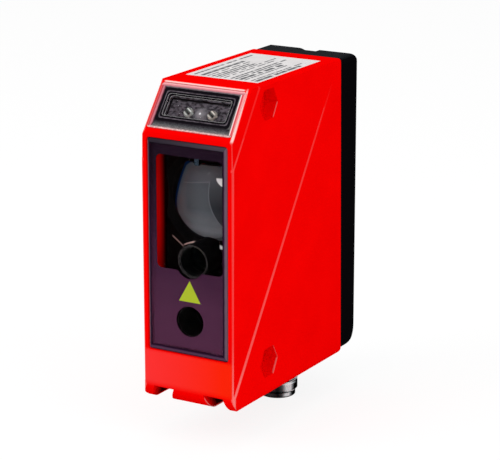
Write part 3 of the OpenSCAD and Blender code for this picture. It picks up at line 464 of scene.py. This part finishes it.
def window_pane():
    """The window's glass: clear, with the light and shade along its chamfered border painted in bands."""
    material, tree, shader = start("clear_glass")
    across, _, height = split(tree, place(tree))
    wave = between(tree, noise(tree, 3 * MM, 2), -0.06 * MM, 0.06 * MM)
    right = total(tree, past(tree, across, WINDOW_RIGHT), wave)
    left = total(tree, short_of(tree, across, WINDOW_LEFT), wave)
    top = total(tree, past(tree, height, WINDOW_TOP), wave)
    low = total(tree, short_of(tree, height, WINDOW_LOW), wave)
    right_bands = bands(tree, right, [
        (0.0, 46, 24, 46), (0.3, 46, 24, 46), (0.5, 98, 78, 92), (0.9, 106, 84, 98), (1.1, 122, 98, 112),
        (1.3, 112, 88, 102), (1.5, 66, 30, 46)])
    left_bands = bands(tree, left, [
        (0.0, 38, 19, 42), (0.3, 38, 19, 42), (0.5, 92, 74, 84), (0.9, 96, 74, 84), (1.15, 140, 32, 44)])
    # The upper painted bands are brighter to the right
    top_bands = mix_colour(
        tree, rising(tree, across, -9, 9),
        bands(tree, top, [(0.0, 30, 20, 32), (0.25, 44, 38, 47), (1.2, 50, 43, 52), (1.5, 40, 22, 30)]),
        bands(tree, top, [(0.0, 36, 24, 36), (0.25, 68, 60, 70), (1.2, 76, 67, 77), (1.5, 48, 26, 34)]))
    low_bands = bands(tree, low, [
        (0.0, 40, 17, 40), (0.35, 38, 15, 38), (0.55, 74, 50, 73), (1.05, 80, 55, 76), (1.4, 42, 25, 44),
        (1.75, 90, 14, 22)])
    sides = mix_colour(tree, calculate(tree, "GREATER_THAN", right, left), left_bands, right_bands)
    ends = mix_colour(tree, calculate(tree, "GREATER_THAN", low, top), top_bands, low_bands)
    sideways, lengthways = largest(tree, right, left), largest(tree, top, low)
    border = mix_colour(tree, calculate(tree, "GREATER_THAN", lengthways, sideways), sides, ends)
    outside = largest(tree, sideways, lengthways)
    # The tint starts before the paint, so that no clear line shows between them
    painted, tinted = rising(tree, outside, -0.05, 0.05), rising(tree, outside, -0.2, -0.1)
    feed(tree, shader, {
        "Base Color": mix_colour(tree, tinted, (0.97, 0.96, 0.97, 1), border),
        "Transmission Weight": rest(tree, painted),
        "Roughness": between(tree, painted, 0.0, 0.4, 0, 1),
        "IOR": 1.08,
        "Specular Tint": (0.1, 0.1, 0.1, 1)})
    lets_lamps_through(tree, shader)
    return material


def pane_plastic():
    """The indicator pane: clear in the middle, with a black double frame, and bonded edges painted bright
    with highlights and reflections.
    """
    material, tree, shader = start("clear_plastic")
    across, up, _ = slope_place(tree)
    wave = between(tree, noise(tree, 0.9 * MM, 2), -0.05 * MM, 0.05 * MM)
    sideways = past(tree, calculate(tree, "ABSOLUTE", across), PANE_HALF_W)
    lengthways = past(tree, calculate(tree, "ABSOLUTE", past(tree, up, PANE_MIDDLE)), PANE_HALF_H)
    depth = add(
        tree, "ShaderNodeMath", {0: sideways, 1: lengthways, 2: PANE_CORNER * MM},
        operation="SMOOTH_MAX").outputs[0]
    depth = total(tree, depth, wave)
    # The double frame: a grey line, a painted highlight, in a black band
    grey = cloudy(tree, 1.6 * MM, 2, srgb(58, 52, 58), srgb(102, 94, 102))
    lines = bands(tree, depth, [(-1.8, 18, 15, 20), (-0.1, 18, 15, 20), (0.0, 36, 32, 38)])
    lines = mix_colour(tree, line_at(tree, depth, -1.0, 0.3), lines, grey)
    # The bonded edges, with their painted highlights, reflections and shade; the right one leans a little
    left = total(tree, short_of(tree, across, PANE_LEFT), wave)
    right = past(tree, total(tree, across, (short_of(tree, up, 8.5), -0.05)), PANE_RIGHT)
    top = total(tree, past(tree, up, PANE_TOP), wave)
    low = total(tree, short_of(tree, up, PANE_LOW), wave)
    left_bands = bands(tree, left, [
        (0.0, 48, 24, 32), (0.2, 104, 44, 56), (0.5, 184, 122, 134), (0.82, 206, 104, 116),
        (1.1, 158, 60, 72), (1.45, 232, 86, 88), (1.7, 190, 48, 50)])
    top_bands = bands(tree, top, [
        (0.0, 38, 36, 40), (0.2, 96, 88, 92), (0.4, 128, 106, 112), (0.6, 200, 124, 132),
        (0.9, 220, 138, 145), (1.1, 242, 172, 174), (1.3, 232, 162, 166), (1.4, 160, 118, 120)])
    right_bands = bands(tree, right, [
        (0.0, 88, 86, 86), (0.3, 100, 96, 96), (0.44, 236, 220, 220), (0.56, 236, 220, 220),
        (0.75, 240, 102, 110), (1.0, 198, 56, 64), (1.4, 246, 148, 148), (1.6, 248, 160, 160)])
    low_bands = bands(tree, low, [
        (0.0, 34, 30, 35), (0.35, 52, 50, 55), (0.8, 72, 72, 75), (1.2, 96, 94, 96), (1.6, 112, 106, 106),
        (1.8, 160, 140, 138), (1.98, 214, 186, 184), (2.16, 218, 170, 168), (2.3, 230, 92, 92),
        (2.4, 192, 48, 48)])
    speck = between(tree, noise(tree, 0.28 * MM, 2, (0.5, 1, 1)), 0.6, 1.35)
    low_bands = add(
        tree, "ShaderNodeMix", {0: 1.0, 6: low_bands, 7: speck}, data_type="RGBA",
        blend_type="MULTIPLY").outputs[2]
    # Which edge wins at a corner: the sides' bands run down to the foot of the pane, and the upper band
    # runs over them. Each value is negative before its edge, and grows to 1 mm at the edge's end
    beside = largest(tree, calculate(tree, "DIVIDE", left, 1.7), calculate(tree, "DIVIDE", right, 1.6))
    over, beneath = (
        calculate(
            tree, "SUBTRACT", between(tree, value, 0.02 * MM, MM, first * MM, last * MM),
            calculate(tree, "LESS_THAN", value))
        for value, first, last in ((top, 0.3, 0.6), (low, 1.6, 1.8)))
    sides = mix_colour(tree, calculate(tree, "GREATER_THAN", right, left), left_bands, right_bands)
    ends = mix_colour(tree, calculate(tree, "GREATER_THAN", beneath, over), top_bands, low_bands)
    at_end = calculate(tree, "GREATER_THAN", largest(tree, over, beneath), beside)
    edges = mix_colour(tree, at_end, sides, ends)
    milky = rising(tree, depth, -1.8, -1.65)
    tint = mix_colour(tree, rising(tree, depth, -0.05, 0.05), lines, edges)
    feed(tree, shader, {
        "Base Color": mix_colour(tree, milky, (0.97, 0.97, 0.97, 1), tint),
        "Transmission Weight": rest(tree, milky),
        "Roughness": between(tree, milky, 0.0, 0.4, 0, 1),
        "IOR": 1.04,
        "Specular Tint": (0.02, 0.02, 0.02, 1)})
    lets_lamps_through(tree, shader)
    return material


def bezel_plastic():
    """Black plastic, grained and greyer in the bezel's tray, with a low dome in its middle that is painted
    lighter and carries a painted glint.
    """
    material, tree, shader = start("black_plastic")
    across, up, under = slope_place(tree)
    smooth = rounded(tree, 0.12 * MM)
    above = past(tree, up, BEZEL_MIDDLE)
    speck = between(tree, noise(tree, 0.7 * MM, 2, (0.6, 1, 1)), 0, 1, 0.35, 0.65)
    tray = mix_colour(tree, speck, srgb(34, 31, 35), srgb(92, 86, 94))
    away = radius_of(tree, across, above)
    # Painted light: the low dome lighter than the tray, and a painted glint at its middle
    dome = between(tree, away, 0.8, 0, 0.3 * MM, 2.9 * MM, smooth=True)
    tray = mix_colour(tree, dome, tray, srgb(136, 133, 138))
    tray = mix_colour(tree, falling(tree, away, 0.15, 0.45, True), tray, srgb(225, 225, 228))
    # The dark line between the tray's floor and its wall
    inner = largest(
        tree, past(tree, calculate(tree, "ABSOLUTE", across), BEZEL_HALF_W - BEZEL_WALL),
        past(tree, calculate(tree, "ABSOLUTE", above), BEZEL_HIGH - BEZEL_MIDDLE - BEZEL_WALL))
    corner = product(tree, line_at(tree, inner, -0.15, 0.7), rising(tree, under, 2.85, 2.95))
    tray = mix_colour(tree, corner, tray, srgb(18, 15, 18))
    feed(tree, shader, {
        "Base Color": mix_colour(tree, rising(tree, under, 2.1, 2.3), srgb(10, 10, 11), tray),
        "Roughness": between(tree, speck, 0.4, 0.6, 0, 1),
        "Normal": grain(tree, 0.3 * MM, 0.003 * MM, smooth),
        "Specular IOR Level": 0.02})
    return material


def lamp_plastic(name, side, tint):
    """A small domed lamp of clear plastic: greyish, with slanted streaks and a lighter rim, painted as its
    highlights and reflections.
    """
    material, tree, shader = start(name)
    across, up, _ = slope_place(tree)
    beside, above = past(tree, across, side * LAMP_SET), past(tree, up, BEZEL_MIDDLE)
    # Painted highlights and reflections, as slanted streaks light and dark
    streaks = [
        (-1.5, 100), (-1.15, 130), (-0.9, 205), (-0.68, 190), (-0.5, 84), (-0.3, 42), (0.0, 34), (0.15, 70),
        (0.42, 92), (0.55, 205), (0.8, 214), (0.98, 84), (1.5, 140)]
    body = bands(
        tree, total(tree, (beside, 0.57), (above, 0.82)),
        [(at, *(share * grey for share in tint)) for at, grey in streaks])
    # A painted highlight round the dome's rim
    ring = line_at(tree, radius_of(tree, beside, above), 1.3, 0.3)
    feed(tree, shader, {
        "Base Color": mix_colour(tree, ring, body, srgb(*(156 * share for share in tint))),
        "Roughness": between(tree, noise(tree, 0.6 * MM, 2), 0.1, 0.2),
        "IOR": 1.3})
    return material


def mask_print():
    """Plum print behind the glass, darker towards the top."""
    material, tree, shader = start("plum_mask")
    _, _, height = split(tree, place(tree))
    cloud = between(tree, noise(tree, 8 * MM, 2), -2 * MM, 2 * MM)
    feed(tree, shader, {
        "Base Color": bands(tree, total(tree, height, cloud), [
            (16.0, 81, 44, 69), (29.0, 79, 43, 68), (39.0, 66, 35, 59), (52.0, 50, 27, 48),
            (68.0, 34, 19, 34), (76.0, 33, 19, 33)]),
        "Roughness": between(tree, noise(tree, 0.6 * MM, 2), 0.4, 0.5),
        "Specular IOR Level": 0.02})
    return material


def lens_glass():
    """Coated optical glass: the big lens is greyish, with the room's reflection and the view through it
    painted in, and the small one stays clear.
    """
    material, tree, shader = start("lens_glass")
    across, _, height = split(tree, place(tree))
    big = rising(tree, height, LENS_LOW[2] - 0.2, LENS_LOW[2])
    # The room's reflection and the view through the glass, painted in as greys by height, with clouds, and
    # paler to the left
    body = bands(tree, height, [
        (45.0, 140, 146, 152), (48.2, 150, 156, 163), (50.2, 118, 123, 129), (55.0, 82, 86, 91),
        (62.0, 82, 85, 91), (63.0, 92, 93, 100), (66.2, 100, 100, 106), (67.3, 112, 108, 110)])
    cloud = between(tree, noise(tree, 5 * MM, 2), 0, 1)
    body = mix_colour(tree, product(tree, cloud, 0.25), body, srgb(66, 70, 75))
    paler = between(tree, across, 0.75, 0, -9.5 * MM, -4.5 * MM, smooth=True)
    body = mix_colour(tree, paler, body, srgb(124, 126, 132))
    # A painted image of a darker block seen through the glass: its side bends away below, and its top rises
    # to the right
    drop = largest(tree, short_of(tree, height, 60), 0)
    beyond = total(tree, past(tree, across, 1.95), (drop, -0.04), (drop, drop, -31))
    above = total(tree, past(tree, height, 62.68), (across, -0.154))
    block = product(tree, rising(tree, beyond, -0.1, 0.1), falling(tree, height, 63.5, 65))
    body = mix_colour(tree, block, body, bands(tree, height, [
        (49.0, 92, 96, 101), (52.0, 56, 60, 65), (56.0, 46, 49, 54), (61.0, 70, 73, 78),
        (64.5, 92, 94, 100)]))
    # Painted light lines along the block's outline
    block_outline = largest(
        tree, product(tree, line_at(tree, beyond, -0.12, 0.3), falling(tree, above, -0.1, 0.1)),
        product(tree, line_at(tree, above, 0.0, 0.3), within(tree, across, -7.4, 1.9, 0.3)))
    body = mix_colour(tree, product(tree, block_outline, 0.35), body, srgb(128, 132, 138))
    # The painted bright crescent, a glint of the window's light
    sunk = product(tree, short_of(tree, height, 64.3), 18.5)
    bow = total(tree, past(tree, across, 3.6), (sunk, sunk, -1))
    crescent = product(
        tree, within(tree, height, 62.0, 64.1), rising(tree, bow, -0.1, 0.15),
        falling(tree, across, 6.0, 6.6))
    body = mix_colour(tree, crescent, body, srgb(255, 255, 255))
    # The trimmed side: a blue fringe, then a paler one
    rise = largest(tree, past(tree, height, 55), 0)
    trim = total(tree, past(tree, across, -11.0), (rise, -0.264))
    inwards = short_of(tree, radius_of(tree, across, past(tree, height, LENS_Z)), LENS_R)
    fringe = calculate(tree, "MINIMUM", trim, total(tree, inwards, 0.2 * MM))
    high = rising(tree, height, 52, 56, True)
    pale = product(tree, falling(tree, fringe, 0.9, 2.6, True), high, 0.4)
    body = mix_colour(tree, pale, body, srgb(64, 112, 132))
    blue = mix_colour(tree, high, srgb(26, 28, 34), srgb(6, 44, 92))
    body = mix_colour(tree, falling(tree, fringe, 0.55, 1.0, True), body, blue)
    # The ground rim below, with a painted highlight where it catches light
    glint = product(
        tree, within(tree, inwards, -0.4, 0.5, 0.1), within(tree, across, 1.2, 6.0, 0.3),
        falling(tree, height, 49, 50), 0.4)
    body = mix_colour(tree, glint, body, srgb(150, 155, 160))
    feed(tree, shader, {
        "Base Color": mix_colour(tree, big, (0.02, 0.02, 0.02, 1), body),
        "Transmission Weight": rest(tree, big),
        "Roughness": between(tree, noise(tree, 2 * MM, 2), 0.0, 0.02),
        "Coat Weight": product(tree, big, between(tree, crescent, 0.02, 1, 0, 1)),
        "Coat IOR": 2.2,
        "Coat Roughness": 0.03,
        "IOR": 1.05})
    lets_lamps_through(tree, shader)
    return material


def carrier_plastic():
    """Black glass-filled plastic, with painted highlights along its funnel's lower rim and a painted glint
    under the lens.
    """
    material = coated(
        "carrier_black", srgb(9, 7, 8), srgb(44, 36, 34), 0.02, 0.5, 0.15 * MM, 0.2,
        (0.25 * MM, 0.01 * MM))
    tree = material.node_tree
    across, depth, height = split(tree, place(tree))
    front = falling(tree, depth, -20, -18)
    # A painted white glint under the lens
    wedge = product(
        tree, line_at(tree, total(tree, height, (across, 0.1)), 44.6, 0.8),
        within(tree, across, 0.6, 7.0, 0.5))
    paint_over(material, product(tree, wedge, front, 0.85), srgb(255, 255, 255))
    # A painted highlight on the funnel's rim, round below and straight at its lower left
    beside = past(tree, across, -3.3)
    arc = total(tree, height, (beside, -0.1), (beside, beside, 50.0))
    fall = total(tree, (height, 0.814), (across, 0.581))
    rim = largest(
        tree, product(tree, line_at(tree, arc, 44.7, 0.4), within(tree, across, -7.5, -4.4, 0.3)),
        product(tree, line_at(tree, fall, 30.45, 0.36), within(tree, across, -11.3, -7.8, 0.3), 0.6))
    paint_over(material, product(tree, rim, front, 0.85), srgb(255, 222, 212))
    return material


def cover_plastic():
    """Black moulded plastic, with painted light that makes it greyer where it faces up or back."""
    material = coated(
        "cover_black", srgb(3, 2, 4), srgb(10, 10, 12), 0.004, 0.6, 0.3 * MM, 0.05, (0.5 * MM, 0.015 * MM))
    tree = material.node_tree
    smooth = rounded(tree, 0.3 * MM)
    lit = largest(tree, *(facing(tree, smooth, way, 0.6, 0.95) for way in ((0, 0, 1), (0, 1, 0))))
    paint_over(material, lit, srgb(22, 24, 27))
    return material


def plated():
    """Nickel plate on the connector, with a painted bright and a painted black stripe that stand in for the
    reflections a studio puts on it.
    """
    material, tree, shader = start("nickel")
    smooth = rounded(tree, 0.08 * MM)
    _, _, height = split(tree, place(tree))
    marks = noise(tree, 0.6 * MM, 3, (1, 1, 14))
    # From -1 mm at the left to 1 mm at the right, as the camera sees the round surface turn
    turned = total(
        tree, (along(tree, smooth, (0.862, 0.507, 0)), MM), between(tree, marks, -0.03 * MM, 0.03 * MM))
    # Painted reflections: dark and bright stripes across the round surface
    stripe = bands(tree, turned, [
        (-1.0, 30, 30, 32), (-0.4, 92, 94, 96), (0.0, 30, 30, 32), (0.2, 78, 82, 84), (0.32, 160, 168, 170),
        (0.42, 244, 250, 252), (0.64, 250, 253, 255), (0.74, 140, 145, 148), (0.82, 22, 22, 24),
        (1.0, 8, 8, 10)])
    # Painted shade: dark at the end, in the step under the thread and on faces that look down
    end = SHELL_LOW[2]
    dark = largest(
        tree, falling(tree, height, end + 0.2, end + 0.5), within(tree, height, end + 1.42, end + 1.75, 0.1),
        facing(tree, smooth, (0, 0, -1), 0.6, 0.9))
    # Painted highlight: in the bright stripe the metal gives way to plain pale colour
    bright = product(tree, within(tree, turned, 0.34, 0.7, 0.08), rest(tree, dark), 0.85)
    feed(tree, shader, {
        "Base Color": mix_colour(tree, product(tree, dark, 0.9), stripe, srgb(18, 18, 20)),
        "Metallic": rest(tree, bright),
        "Roughness": between(tree, marks, 0.12, 0.26),
        "Normal": bumped(tree, marks, 0.004 * MM, smooth),
        "Specular Tint": (0.15, 0.15, 0.15, 1)})
    return material


def board_laminate():
    """Green circuit board with faint tracks under its lacquer."""
    material, tree, shader = start("board")
    scaled = add(tree, "ShaderNodeMapping", {"Vector": place(tree), "Scale": (900, 900, 900)})
    tracks = add(
        tree, "ShaderNodeTexBrick", {"Vector": scaled.outputs[0], "Scale": 1.0, "Mortar Size": 0.08},
    ).outputs["Fac"]
    feed(tree, shader, {
        "Base Color": mix_colour(tree, tracks, srgb(20, 78, 48), srgb(38, 110, 66)),
        "Roughness": between(tree, tracks, 0.3, 0.45, 0, 1)})
    return material


def label_foil():
    """White polyester foil with a faint uneven sheen."""
    material, tree, shader = start("label_white")
    feed(tree, shader, {
        "Base Color": cloudy(tree, 6 * MM, 3, srgb(212, 208, 208), srgb(226, 223, 222)),
        "Roughness": between(tree, noise(tree, 1.5 * MM, 2), 0.35, 0.5),
        "Normal": grain(tree, 0.3 * MM, 0.004 * MM),
        "Specular IOR Level": 0.2})
    return material


def ink():
    """Grey print on the label, thinner in places."""
    material, tree, shader = start("label_ink")
    feed(tree, shader, {
        "Base Color": cloudy(tree, 0.5 * MM, 3, srgb(66, 67, 70), srgb(116, 117, 120)),
        "Roughness": 0.6,
        "Specular IOR Level": 0.1})
    return material


def finishes():
    """The record's material slots, each with its finish."""
    return {
        "red_coat": red_paint(),
        "clear_glass": window_pane(),
        "plum_mask": mask_print(),
        "black_adhesive": coated(
            "black_adhesive", srgb(20, 18, 20), srgb(30, 28, 30), 0.05, 0.7, 0.1 * MM, 0.0,
            (0.3 * MM, 0.02 * MM)),
        "yellow_green": coated(
            "yellow_green", srgb(180, 198, 50), srgb(180, 198, 50), 0.02, 0.5, 0.1 * MM, 0.0,
            (0.3 * MM, 0.004 * MM)),
        "clear_plastic": pane_plastic(),
        "black_plastic": bezel_plastic(),
        "board": board_laminate(),
        "lamp_green": lamp_plastic("lamp_green", -1, (0.97, 1.0, 0.98)),
        "lamp_yellow": lamp_plastic("lamp_yellow", 1, (1.0, 0.99, 0.95)),
        "carrier_black": carrier_plastic(),
        "lens_glass": lens_glass(),
        "spring_steel": metal("spring_steel", srgb(52, 66, 78), 0.3, (1, 1, 8)),
        "can_steel": metal("can_steel", srgb(175, 178, 182), 0.3),
        # The tube's rim is painted light grey as a painted highlight
        "tube_black": coated(
            "tube_black", srgb(6, 6, 7), srgb(190, 182, 182), 0.02, 0.5, 0.045 * MM, 0.2,
            (0.3 * MM, 0.006 * MM)),
        "gold_plate": metal("gold_plate", srgb(235, 196, 110), 0.25),
        "screw_steel": metal("screw_steel", srgb(190, 192, 196), 0.3),
        "nickel": plated(),
        "seal_rubber": coated(
            "seal_rubber", srgb(24, 24, 25), srgb(34, 34, 35), 0.1, 0.65, 0.1 * MM, 0.0,
            (0.3 * MM, 0.01 * MM)),
        "flex_amber": coated(
            "flex_amber", srgb(190, 110, 30), srgb(205, 130, 50), 0.3, 0.35, 0.1 * MM, 0.2,
            (1 * MM, 0.004 * MM)),
        "panel_grey": coated(
            "panel_grey", srgb(62, 63, 67), srgb(90, 91, 95), 0.2, 0.5, 0.2 * MM, 0.3,
            (0.3 * MM, 0.01 * MM)),
        "display_dark": coated(
            "display_dark", srgb(16, 22, 30), srgb(40, 46, 54), 0.5, 0.15, 0.1 * MM, 0.5,
            (4 * MM, 0.002 * MM)),
        "key_rubber": coated(
            "key_rubber", srgb(84, 86, 90), srgb(104, 106, 110), 0.15, 0.6, 0.2 * MM, 0.1,
            (0.3 * MM, 0.01 * MM)),
        "cover_black": cover_plastic(),
        "label_white": label_foil(),
    }


def dress():
    """Gives each CAD node the finish of its material slot."""
    looks = finishes()
    for subpart in frame["record"]["subparts"]:
        node = NODES[subpart["node"]]
        for material_slot in node.material_slots:
            material_slot.material = looks[subpart["material_slot"]]
    return looks


# Pieces

def mesh_piece(name, points, faces, material):
    """A mesh in millimetres as a piece that rides on the part."""
    mesh = bpy.data.meshes.new(name)
    mesh.from_pydata([tuple(value * MM for value in point) for point in points], [], faces)
    mesh.validate()
    mesh.materials.append(material)
    piece = bpy.data.objects.new(name, mesh)
    bpy.context.scene.collection.objects.link(piece)
    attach(piece, "root")
    return piece


def box_at(points, faces, low, high):
    """Adds a box between two corners to a mesh in the making."""
    first = len(points)
    points += [(x, y, z) for x in (low[0], high[0]) for y in (low[1], high[1]) for z in (low[2], high[2])]
    faces += [
        tuple(first + corner for corner in face)
        for face in ((0, 1, 3, 2), (4, 6, 7, 5), (0, 4, 5, 1), (2, 3, 7, 6), (0, 2, 6, 4), (1, 5, 7, 3))]


def label_print(material):
    """Rows of plain grey dashes along the label, as far-off print."""
    dice = random.Random(7)
    points, faces = [], []
    top = LABEL_HIGH[2]
    ink_low, ink_high = top - 0.02, top + 0.012
    row = LABEL_LOW[0] + 1.6
    while row < LABEL_HIGH[0] - 1.4:
        height = dice.choice((0.5, 0.7, 1.2))
        end = LABEL_LOW[1] + dice.uniform(0.55, 0.85) * (LABEL_HIGH[1] - LABEL_LOW[1])
        at = LABEL_LOW[1] + 1.5
        while at < end:
            length = dice.uniform(1.6, 5.2)
            box_at(points, faces, (row, at, ink_low), (row + height, at + length, ink_high))
            at += length + dice.choice((0.35, 0.45, 0.6, 1.6))
        row += height + dice.choice((0.6, 0.9, 1.6))
    return mesh_piece("label_print", points, faces, material)


# Shape of the connector's outside, in millimetres
PILOT_R = 5.35
MAJOR_R = 6.0
THREAD_DEPTH = 0.55
PITCH = 1.0
THREAD_LOW = -7.2
THREAD_HIGH = 2.0
FLANGE_R = 7.8
FLANGE_Z = 2.4
FOOT_CEILING = 4.1
NECK_R = 5.0
SOCKET_R = 4.9
SOCKET_DEPTH = 9.5
CORE_R = 4.2
CHAMFER = 0.15
AROUND = 96
RINGS_PER_TURN = 12


def thread_radius(angle, height):
    """Radius of a rounded V thread that runs out at both ends."""
    turn = (height / PITCH - angle / math.tau) % 1
    tooth = min(1, max(0, (abs(2 * turn - 1) - 0.1) / 0.75))
    run_out = min(1, (height - THREAD_LOW) / PITCH, (THREAD_HIGH - height) / PITCH)
    return MAJOR_R - THREAD_DEPTH * max(0, run_out) * (0.5 - 0.5 * math.cos(math.pi * tooth))


def connector_body(material):
    """The connector's threaded shell, turned from its profile, in place of the plain solid."""
    end, top = SHELL_LOW[2], SHELL_HIGH[2]
    seat = INSERT_HIGH[2] - SOCKET_DEPTH
    axis_y = (SHELL_LOW[1] + SHELL_HIGH[1]) / 2
    below = [
        (end, SOCKET_R + CHAMFER), (end, PILOT_R - CHAMFER), (end + CHAMFER, PILOT_R), (end + 1.4, PILOT_R),
        (end + 1.45, PILOT_R + 0.05), (end + 2.15, MAJOR_R - 0.05), (end + 2.2, MAJOR_R),
        (THREAD_LOW, MAJOR_R)]
    above = [
        (THREAD_HIGH, MAJOR_R), (FLANGE_Z, MAJOR_R), (FLANGE_Z, FLANGE_R - CHAMFER),
        (FLANGE_Z + CHAMFER, FLANGE_R), (FOOT_CEILING - CHAMFER, FLANGE_R),
        (FOOT_CEILING, FLANGE_R - CHAMFER), (FOOT_CEILING, NECK_R), (top, NECK_R), (top, CORE_R),
        (seat, CORE_R), (seat, SOCKET_R), (end + CHAMFER, SOCKET_R)]
    steps = round((THREAD_HIGH - THREAD_LOW) / PITCH * RINGS_PER_TURN)
    threaded = [THREAD_LOW + (THREAD_HIGH - THREAD_LOW) * i / steps for i in range(1, steps)]
    angles = [math.tau * i / AROUND for i in range(AROUND)]
    rings = (
        [(height, [radius] * AROUND) for height, radius in below]
        + [(height, [thread_radius(angle, height) for angle in angles]) for height in threaded]
        + [(height, [radius] * AROUND) for height, radius in above])
    points = [
        (radius * math.cos(angle), axis_y + radius * math.sin(angle), height)
        for height, ring in rings for angle, radius in zip(angles, ring)]
    count = len(rings)
    faces = [
        (j * AROUND + i, j * AROUND + (i + 1) % AROUND,
         (j + 1) % count * AROUND + (i + 1) % AROUND, (j + 1) % count * AROUND + i)
        for j in range(count) for i in range(AROUND)]
    piece = mesh_piece("connector_body", points, faces, material)
    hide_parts("connector_shell")
    return piece


# Studio

PART_MIDDLE = Vector((0, 0, 0.045))
LAMP_DISTANCE = 0.9


def studio_floor():
    """A pale floor under the connector that keeps a faint shadow."""
    size, height = 4.0, cad_box[0][2]
    mesh = bpy.data.meshes.new("floor")
    corners = ((-size, -size), (size, -size), (size, size), (-size, size))
    mesh.from_pydata([(x, y, height) for x, y in corners], [], [(0, 1, 2, 3)])
    material, tree, shader = start("floor")
    feed(tree, shader, {
        "Base Color": (0.84, 0.84, 0.84, 1), "Roughness": 0.9, "Specular IOR Level": 0.0})
    seen = add(tree, "ShaderNodeLightPath").outputs["Is Camera Ray"]
    glow = add(tree, "ShaderNodeEmission", {"Color": (1, 1, 1, 1), "Strength": 1.07})
    mixed = add(
        tree, "ShaderNodeMixShader",
        {0: product(tree, seen, 0.8), 1: shader.outputs[0], 2: glow.outputs[0]})
    feed(tree, tree.nodes["Material Output"], {"Surface": mixed.outputs[0]})
    mesh.materials.append(material)
    floor = bpy.data.objects.new("floor", mesh)
    bpy.context.scene.collection.objects.link(floor)


def studio_world(level):
    """Even room light, which camera, metal and glass see as white."""
    world = bpy.data.worlds.new("studio")
    world.use_nodes = True
    bpy.context.scene.world = world
    tree = world.node_tree
    path = add(tree, "ShaderNodeLightPath").outputs
    seen = largest(tree, path["Is Camera Ray"], path["Is Glossy Ray"], path["Is Transmission Ray"])
    room, white = (
        add(tree, "ShaderNodeBackground", {"Color": (1, 1, 1, 1), "Strength": strength}).outputs[0]
        for strength in (level, 1.0))
    mixed = add(tree, "ShaderNodeMixShader", {0: seen, 1: room, 2: white})
    feed(tree, tree.nodes["World Output"], {"Surface": mixed.outputs[0]})


def towards(azimuth, elevation):
    """The direction of a place seen from the part: azimuth from the front towards +X, in degrees."""
    azimuth, elevation = math.radians(azimuth), math.radians(elevation)
    level = math.cos(elevation)
    return Vector((math.sin(azimuth) * level, -math.cos(azimuth) * level, math.sin(elevation)))


def aimed(thing, direction, distance, target):
    """Puts a lamp or camera at a distance from a target and points it there."""
    thing.location = target + direction * distance
    thing.rotation_euler = (-direction).to_track_quat("-Z", "Y").to_euler()
    bpy.context.scene.collection.objects.link(thing)


def lamp(name, azimuth, elevation, size, power):
    """A square soft box."""
    data = bpy.data.lights.new(name, "AREA")
    data.size = size
    data.energy = power
    aimed(bpy.data.objects.new(name, data), towards(azimuth, elevation), LAMP_DISTANCE, PART_MIDDLE)


def camera():
    """The photograph's viewpoint, worked out from the housing's straight edges."""
    data = bpy.data.cameras.new("camera")
    data.sensor_width = 36
    data.lens = 157.16
    data.clip_end = 20
    azimuth, elevation = 30.43, 15.66
    right = Vector((math.cos(math.radians(azimuth)), math.sin(math.radians(azimuth)), 0))
    target = PART_MIDDLE - 0.56 * MM * right - Vector((0, 0, 2.28 * MM))
    view = bpy.data.objects.new("camera", data)
    aimed(view, towards(azimuth, elevation), 0.62716, target)
    bpy.context.scene.camera = view


def main():
    """Dresses the part, adds its pieces, and sets up the studio and the camera."""
    looks = dress()
    label_print(ink())
    connector_body(looks["nickel"])
    studio_floor()
    studio_world(0.6)
    lamp("side_box", 76, 32, 0.8, 2.6)
    lamp("front_box", -35, 35, 0.5, 2.7)
    lamp("top_box", 20, 80, 0.6, 0.9)
    camera()
    bpy.context.scene.view_settings.view_transform = "Standard"


main()
